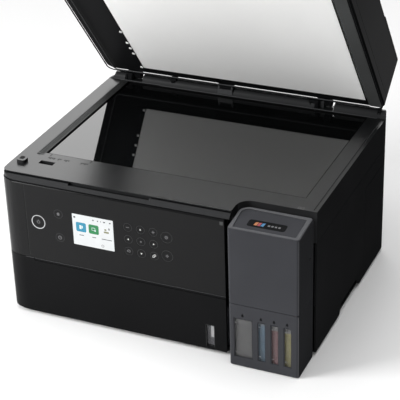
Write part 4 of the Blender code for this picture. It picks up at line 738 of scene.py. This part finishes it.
def make_panel_details():
    low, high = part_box("control_panel")
    face = low.y
    body, slot = "control_panel", "panel_gloss"
    screen_low, screen_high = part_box("display_screen")

    seam_x = low.x + 31.5 * MM
    skin, run = (face - 0.03 * MM, face + 0.2 * MM), (low.z + 3 * MM, high.z - 2 * MM)
    add("panel_seam", Shape().box((seam_x - 0.3 * MM, seam_x + 0.3 * MM), skin, run), body, SEAM)
    bead = Shape().box((seam_x + 0.45 * MM, seam_x + 0.7 * MM), skin, run)
    add("panel_seam_edge", bead, body, MARGIN)

    for node in NODES:
        if node != "power_button" and not node.startswith("button_"):
            continue
        box_low, box_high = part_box(node)
        x, z = (box_low.x + box_high.x) / 2, (box_low.z + box_high.z) / 2
        kind = node.replace("button_", "")
        big = kind in ("stop", "start")
        radius = (7.2 if big else 8.0 if node == "power_button" else 5.4) * MM
        icon = Shape()
        kinds = {"copy_type": "sheets", "power_button": "ring"}
        small = 2.6 if kind in ("up", "down", "left", "right") else 4.2 if kind == "power_button" else 4.0
        symbol(icon, kinds.get(kind, kind), x, z, small * MM, box_low.y)
        if node == "power_button":
            icon.box((x - 0.3 * MM, x + 0.3 * MM), (box_low.y - SYMBOL_PROUD, box_low.y + SYMBOL_ROOT),
                     (z + MM, z + 3 * MM))
        dim = kind in ("minus", "plus", "ok", "back", "power_button")
        add(f"{node}_symbol", icon, node, FAINT if dim or big else WHITE)
        edge = Shape().ring("y", circle((x, z), radius - 0.1 * MM, 48),
                            circle((x, z), radius - 0.45 * MM, 48),
                            box_low.y - 0.04 * MM, box_low.y + 0.1 * MM)
        add(f"{node}_edge", edge, node, MARGIN)

    power_low, power_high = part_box("power_button")
    x, z = (power_low.x + power_high.x) / 2, (power_low.z + power_high.z) / 2
    glow = Shape().ring("y", circle((x, z), 8.85 * MM, 60), circle((x, z), 8.1 * MM, 60),
                        face - 0.05 * MM, face + 0.2 * MM)
    add("power_ring", glow, body, LED)

    side = Shape()
    icon_x, upper, lower = screen_low.x - 17.8 * MM, screen_high.z - 4.4 * MM, screen_low.z + 4.6 * MM
    symbol(side, "home", icon_x, upper, 4.6 * MM, face)
    symbol(side, "ring", icon_x, lower, 4.8 * MM, face)
    symbol(side, "up", icon_x, lower, 1.5 * MM, face)
    add("panel_side_symbols", side, body, FAINT)
    halo = Shape()
    for z in (upper, lower):
        halo.ring("y", circle((icon_x, z), 5.6 * MM, 48), circle((icon_x, z), 5.3 * MM, 48),
                  face - 0.03 * MM, face + 0.1 * MM)
    add("panel_side_rings", halo, body, MARGIN)

    # Light bar at the right end of the finger recess: a painted highlight on the recess's end wall.
    recess = high.x - 90 * MM
    grip = Shape().box((recess - 1.5 * MM, recess - 0.1 * MM), (face + 4.2 * MM, face + 8.5 * MM),
                       (high.z + 3.6 * MM, high.z + 5.8 * MM))
    add("brow_recess_end", grip, "scanner_unit", EDGE, bevel=0.15 * MM)
    latch = Shape().prism("y", rounded(high.x - 5.2 * MM, high.x - 1.2 * MM, high.z - 7.5 * MM,
                                       high.z - 3 * MM, 0.6 * MM, 3), face - 0.25 * MM, face + 0.3 * MM)
    add("panel_latch", latch, body, MARGIN, bevel=0.12 * MM)
    front_low, front_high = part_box("cassette_front")
    y, z = front_low.y + 0.15 * MM, front_high.z - 0.2 * MM
    glint = Shape().tube([(front_low.x + 26 * MM, y, z), (front_low.x + 37 * MM, y, z)], 0.3 * MM, 6)
    add("front_seam_glint", glint, "cassette", EDGE)
    tray_low, tray_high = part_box("output_tray")
    y, z = tray_low.y + 0.1 * MM, tray_high.z - 0.2 * MM
    lip = Shape().tube([(tray_low.x, y, z), (tray_high.x, y, z)], 0.3 * MM, 6)
    add("output_tray_glint", lip, "output_tray", EDGE)


def make_screen():
    """Generic menu on the lit display."""
    low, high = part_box("display_screen")
    face = low.y
    width, height = high.x - low.x, high.z - low.z

    def patch(name, material, shape):
        add(name, shape, "control_panel", material)

    def tile(x, z, w, h, radius):
        cx, cz = low.x + x * width, low.z + z * height
        return rounded(cx - w / 2, cx + w / 2, cz - h / 2, cz + h / 2, radius, 4)

    top, base = face - 0.10 * MM, face + 0.05 * MM
    upper = (face - 0.16 * MM, top + 0.02 * MM)
    for name, x, tint in (("left", 0.21, SCREEN_BLUE), ("middle", 0.52, SCREEN_GREEN)):
        square = Shape().prism("y", tile(x, 0.60, 12.8 * MM, 12 * MM, 1.8 * MM), top, base)
        patch(f"screen_tile_{name}", tint, square)
    marks = Shape()
    for x, z, w, h in ((0.195, 0.60, 2.6, 5.0), (0.24, 0.61, 1.4, 3.4)):
        marks.prism("y", tile(x, z, w * MM, h * MM, 0.4 * MM), *upper)
    marks.ring("y", tile(0.515, 0.61, 4.4 * MM, 3.8 * MM, 0.5 * MM),
               tile(0.515, 0.61, 3.4 * MM, 2.8 * MM, 0.3 * MM), *upper)
    marks.prism("y", tile(0.555, 0.565, 1.9 * MM, 1.7 * MM, 0.4 * MM), *upper)
    patch("screen_tile_marks", SCREEN_BRIGHT, marks)
    grey = Shape()
    status_row = [(x, 0.90, w, h) for x, w, h in ((0.06, 2.4, 2.2), (0.52, 1.8, 1.6), (0.63, 1.4, 1.5),
                                                 (0.70, 0.7, 1.5), (0.79, 2.4, 1.4), (0.93, 2.2, 1.4))]
    captions = [(x, 0.34, w, 0.9) for x, w in ((0.21, 5.8), (0.52, 5.0), (0.83, 13))]
    for x, z, w, h in status_row + captions + [(0.90, 0.70, 1.5, 2.6)]:
        grey.prism("y", tile(x, z, w * MM, h * MM, 0.25 * MM), top, base)
    ring = tile(0.72, 0.11, 3.4 * MM, 3.4 * MM, 1.65 * MM)
    grey.ring("y", ring, tile(0.72, 0.11, 2.5 * MM, 2.5 * MM, 1.2 * MM), top, base)
    patch("screen_grey_marks", SCREEN_GREY, grey)
    tools = Shape().prism("y", tile(0.83, 0.58, 6.5 * MM, 2.2 * MM, 0.8 * MM), top, base)
    tools.prism("y", tile(0.81, 0.66, 2.6 * MM, 2.0 * MM, 0.6 * MM), top, base)
    patch("screen_tile_right", SCREEN_OCHRE, tools)


# ---------------------------------------------------------------- tank unit and front

def window_sides(x0, x1, z0, z1):
    """Sides of a pane inside its opening."""
    return x0 + WINDOW_PLAY, x1 - WINDOW_PLAY, z0 + WINDOW_PLAY, z1 - WINDOW_PLAY


def make_tank_details():
    low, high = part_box("tank_hood")
    foot_low, foot_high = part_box("tank_housing")
    body, slot = "tank_hood", "tank_smoke"
    front_top = high.z - TANK_SLOPE_RISE
    slope = math.atan2(TANK_SLOPE_RISE, high.y - low.y - 4.2 * MM)
    tilt = Matrix.Translation((0, low.y, front_top)) @ Matrix.Rotation(slope, 4, "X")
    corner_radius = 3 * MM
    depth = (high.y - low.y) / math.cos(slope)

    def outline(side, front, rear, corner):
        """Top of the hood, set in from its edges, with one large corner at the rear left."""
        x0, x1, y0, y1 = low.x + side, high.x - side, front, depth - rear
        left, right = x0 + corner_radius, x1 - corner_radius
        radius = corner_radius - side * 0.5
        points = arc((left, y0 + corner_radius), radius, 180, 270, 4)
        points += arc((right, y0 + corner_radius), radius, 270, 360, 4)
        points += arc((right, y1 - corner_radius), radius, 0, 90, 4)
        return points + arc((x0 + corner, y1 - corner), corner, 90, 180, 10)

    rim = Shape().ring("z", outline(0.5 * MM, 0.4 * MM, 2.4 * MM, 11.5 * MM),
                       outline(3.6 * MM, 2.2 * MM, 6 * MM, 8.5 * MM), -0.4 * MM, 1.1 * MM)
    add("tank_top_rim", rim, body, RIM_GREY_AND_HIGHLIGHT, tilt, bevel=0.45 * MM)
    plate = Shape().prism("z", outline(4.6 * MM, 3.4 * MM, 7 * MM, 7.5 * MM), -0.3 * MM, 0.15 * MM)
    add("tank_top_plate", plate, body, TANK, tilt, bevel=0.1 * MM)

    badge = Shape().prism("z", rounded(low.x + 18 * MM, low.x + 62 * MM, 11 * MM, 24 * MM, 3 * MM),
                          -0.1 * MM, 0.19 * MM)
    add("tank_colour_badge", badge, body, SIDE, tilt)
    for name, colour, shift in (("warm", (0.42, 0.16, 0.06), -5.5), ("rose", (0.30, 0.05, 0.06), -1.6),
                                ("cool", (0.05, 0.19, 0.36), 2.4)):
        patch = Shape()
        x, y = low.x + 33 * MM + shift * MM, 17.5 * MM
        patch.prism("z", ((x - 2.1 * MM, y - 3 * MM), (x + 1.3 * MM, y - 3.4 * MM),
                          (x + 2.1 * MM, y + 3.2 * MM), (x - 1.1 * MM, y + 2.4 * MM)), -0.1 * MM, 0.24 * MM)
        add(f"tank_colour_chip_{name}", patch, body, moulded(f"chip_{name}", colour, 0.4), tilt)
    lines = Shape()
    for index in range(4):
        x = low.x + 41 * MM + index * 4 * MM
        lines.box((x, x + 2.6 * MM), (16 * MM, 18.6 * MM), (-0.1 * MM, 0.24 * MM))
    add("tank_colour_chip_bars", lines, body, FAINT, tilt)

    # Light lines down the front corners of the hood and housing: painted highlights on their rounded edges.
    for name, x in (("left", low.x), ("right", high.x)):
        inside = x + (1.1 * MM if name == "left" else -1.1 * MM)
        y = low.y + 1.3 * MM
        edge = Shape().tube([(inside, y, low.z + MM), (inside, y, front_top - MM)], 0.35 * MM, 6)
        add(f"hood_edge_highlight_{name}", edge, body, RIM_GREY_AND_HIGHLIGHT)
        y = low.y + 1.1 * MM
        edge = Shape().tube([(inside, y, foot_low.z + MM), (inside, y, foot_high.z - MM)], 0.35 * MM, 6)
        add(f"housing_edge_highlight_{name}", edge, "chassis", RIM_GREY_AND_HIGHLIGHT)

    dot = Shape().disc("x", (low.y + 35 * MM, low.z + 53 * MM), 1.7 * MM, high.x - 0.2 * MM,
                       high.x + 0.25 * MM, 24)
    add("tank_side_dot", dot, body, SEAM, bevel=0.1 * MM)

    face = foot_low.y
    for colour in INKS:
        tank_low, tank_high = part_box(f"ink_tank_{colour}")
        x0, x1 = tank_low.x + 2 * MM, tank_high.x - 2 * MM
        sides = window_sides(x0, x1, WINDOW_FOOT, WINDOW_TOP)
        pane = Shape().prism("y", rounded(*sides, WINDOW_CORNER, 3), face + 1.2 * MM, face + 1.9 * MM)
        add(f"tank_window_{colour}", pane, "chassis", WINDOW)
        surround = Shape().border("y", sides, 0.7 * MM, (WINDOW_CORNER, WINDOW_CORNER),
                                  face + 0.2 * MM, face + 0.8 * MM, 3)
        add(f"tank_window_frame_{colour}", surround, "chassis", TANK, bevel=0.12 * MM)
        gauge = Shape()
        for z in (WINDOW_FOOT + 6 * MM, INK_LEVEL + 1.5 * MM):
            gauge.box((x0 + 0.6 * MM, x0 + 2.6 * MM), (face + 1.05 * MM, face + 1.25 * MM), (z, z + 0.4 * MM))
        add(f"tank_gauge_{colour}", gauge, "chassis", LEGEND)
        drop = Shape()
        x, z = (x0 + x1) / 2 - 0.5 * MM, WINDOW_TOP + 4.4 * MM
        drop.prism("y", arc((x, z), 1.4 * MM, -220, 40, 12) + [(x, z + 3.0 * MM)], face, face + 0.1 * MM)
        add(f"tank_drop_{colour}", drop, "chassis", SEAM)


def make_front_details():
    low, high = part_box("cassette_front")
    face = low.y
    x0, x1 = high.x - 25 * MM, high.x - 15.5 * MM
    z0, z1 = low.z + 3.5 * MM, low.z + 32 * MM
    pane = Shape().prism("y", rounded(*window_sides(x0, x1, z0, z1), WINDOW_CORNER, 3),
                         face + 1.0 * MM, face + 1.8 * MM)
    add("level_window", pane, "cassette", WINDOW)
    flag = Shape().box((x1 - 4.6 * MM, x1 - 0.8 * MM), (face + 2.2 * MM, face + 2.9 * MM),
                       (z0 + 12 * MM, z1 - 0.8 * MM))
    add("level_flag", flag, "cassette", LEGEND, bevel=0.2 * MM)
    rails, proud = Shape(), (face - 0.1 * MM, face + 0.3 * MM)
    for x in (x0 - 0.5 * MM, x1 + 0.1 * MM):
        rails.box((x, x + 0.4 * MM), proud, (z0 - 0.4 * MM, z1 + 0.4 * MM))
    rails.box((x0 - 0.5 * MM, x1 + 0.5 * MM), proud, (z1 + 0.4 * MM, z1 + 0.8 * MM))
    add("level_window_frame", rails, "cassette", MARGIN, bevel=0.1 * MM)


# ---------------------------------------------------------------- inside and rear

def spread(first, last, count):
    """Even places from first to last."""
    return [first + (last - first) * index / (count - 1) for index in range(count)]


def make_inner_details():
    low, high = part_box("print_carriage")
    body = "print_carriage"
    width = high.x - low.x
    lids = Shape()
    for index in range(4):
        x = low.x + width * (0.07 + 0.225 * index)
        lids.prism("z", rounded(x, x + width * 0.18, low.y + 6 * MM, high.y - 30 * MM, 2 * MM, 4),
                   high.z - 0.3 * MM, high.z + 0.8 * MM)
    add("carriage_dampers", lids, body, INNER, bevel=0.3 * MM)
    plate = Shape().prism("y", rounded(low.x + 8 * MM, high.x - 8 * MM, low.z + 12 * MM, high.z - 10 * MM,
                                       2 * MM, 4), low.y - 0.5 * MM, low.y + 0.3 * MM)
    add("carriage_front_plate", plate, body, FRONT, bevel=0.3 * MM)

    scale_low, scale_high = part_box("carriage_rail")
    encoder = Shape().box((scale_low.x + 12 * MM, scale_high.x - 12 * MM),
                          (scale_low.y - 0.25 * MM, scale_low.y - 0.1 * MM),
                          (scale_high.z - 9 * MM, scale_high.z - 4 * MM))
    add("encoder_strip", encoder, "chassis", WINDOW)

    low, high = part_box("platen")
    ribs = Shape()
    for x in spread(low.x + 12 * MM, high.x - 12 * MM, PLATEN_RIBS):
        ribs.box((x - 0.5 * MM, x + 0.5 * MM), (low.y + 2 * MM, low.y + 10.5 * MM),
                 (high.z - 0.4 * MM, high.z + 1.2 * MM))
    add("platen_ribs", ribs, "chassis", CASE, bevel=0.2 * MM)

    low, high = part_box("output_tray")
    ribs = Shape()
    for x in spread(low.x + 14 * MM, high.x - 28 * MM, TRAY_RIBS):
        if abs(x - TRAY_CUTOUT) < 30 * MM:
            continue
        ribs.box((x - 0.6 * MM, x + 0.6 * MM), (low.y + 12 * MM, high.y - 12 * MM),
                 (high.z - 0.9 * MM, high.z + 0.1 * MM))
    add("output_tray_ribs", ribs, "output_tray", CASE, bevel=0.15 * MM)

    low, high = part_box("scan_carriage")
    strip = Shape().box((low.x + 7 * MM, low.x + 13 * MM), (low.y + 4 * MM, high.y - 4 * MM),
                        (high.z - 0.2 * MM, high.z + 0.25 * MM))
    add("scan_lens_strip", strip, "scan_carriage", EDGE, bevel=0.1 * MM)


def make_rear_details():
    low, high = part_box("power_inlet")
    middle = (low.x + high.x) / 2
    pins = Shape()
    for side in (-1, 1):
        pins.disc("y", (middle + side * 4.3 * MM, (low.z + high.z) / 2), 1.2 * MM,
                  high.y - 15.2 * MM, high.y - 4 * MM, 16)
    add("inlet_pins", pins, "chassis", BRASS, bevel=0.3 * MM)
    collar = Shape().border("y", (low.x - 0.6 * MM, high.x + 0.6 * MM, low.z - 0.6 * MM, high.z + 0.6 * MM),
                            3.6 * MM, (MM, MM), high.y - 0.3 * MM, high.y + 0.9 * MM, 3)
    add("inlet_collar", collar, "chassis", CASE, bevel=0.2 * MM)
    low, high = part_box("rear_cover")
    ribs = Shape()
    for x in spread(low.x + 22 * MM, high.x - 22 * MM, COVER_RIBS):
        ribs.box((x - 0.6 * MM, x + 0.6 * MM), (low.y - 5 * MM, low.y + 0.3 * MM),
                 (low.z + 12 * MM, high.z - 12 * MM))
    add("rear_cover_guide_ribs", ribs, "rear_cover", CASE, bevel=0.2 * MM)


make_deck_details()
make_hinge_details()
make_lid_details()
make_feeder_details()
make_panel_details()
make_screen()
make_tank_details()
make_front_details()
make_inner_details()
make_rear_details()


# ---------------------------------------------------------------- stage

def make_stage():
    floor = bpy.data.meshes.new("floor")
    corners = [(x * FLOOR_REACH, y * FLOOR_REACH, 0) for x, y in ((-1, -1), (1, -1), (1, 1), (-1, 1))]
    floor.from_pydata(corners, [], [(0, 1, 2, 3)])
    obj = bpy.data.objects.new("floor", floor)
    bpy.context.scene.collection.objects.link(obj)
    made, nodes, links, shader = new_material("floor_paper")
    shader.inputs["Roughness"].default_value = 0.9
    shader.inputs["Specular IOR Level"].default_value = 0.1
    tone = ramp(nodes, links, noise(nodes, links, 2.0).outputs["Fac"], (0.86, 0.86, 0.86), (0.88, 0.88, 0.88))
    links.new(tone.outputs["Color"], shader.inputs["Base Color"])
    floor.materials.append(made)

    world = bpy.data.worlds.new("studio")
    bpy.context.scene.world = world
    world.use_nodes = True
    background = world.node_tree.nodes["Background"]
    background.inputs["Color"].default_value = (1.0, 1.0, 1.0, 1)
    background.inputs["Strength"].default_value = WORLD_STRENGTH


def area_light(name, place, target, size, power):
    data = bpy.data.lights.new(name, "AREA")
    data.shape = "RECTANGLE"
    data.size, data.size_y = size
    data.energy = power
    obj = bpy.data.objects.new(name, data)
    bpy.context.scene.collection.objects.link(obj)
    obj.location = place
    obj.rotation_euler = (Vector(target) - Vector(place)).to_track_quat("-Z", "Y").to_euler()


def make_camera():
    """Looks from the front right and above, with a long lens."""
    data = bpy.data.cameras.new("camera")
    data.sensor_width = SENSOR
    data.lens = LENS
    data.clip_end = 30
    obj = bpy.data.objects.new("camera", data)
    bpy.context.scene.collection.objects.link(obj)
    turn = (Matrix.Rotation(CAMERA_AZIMUTH, 4, "Z")
            @ Matrix.Rotation(math.pi / 2 - CAMERA_ELEVATION, 4, "X") @ Matrix.Rotation(CAMERA_ROLL, 4, "Z"))
    obj.matrix_world = Matrix.Translation(CAMERA_PLACE) @ turn
    bpy.context.scene.camera = obj


make_stage()
area_light("key", (-1.0, -0.92, 0.72), (0, 0.0, 0.24), (0.6, 0.8), 24)
area_light("top", (0.35, -0.1, 2.6), (0.1, 0, 0), (2.4, 2.4), 50)
area_light("back", (-1.25, 2.6, 1.75), (0, 0, 0.2), (2.0, 1.8), 27)
make_camera()
bpy.context.scene.view_settings.view_transform = "Standard"
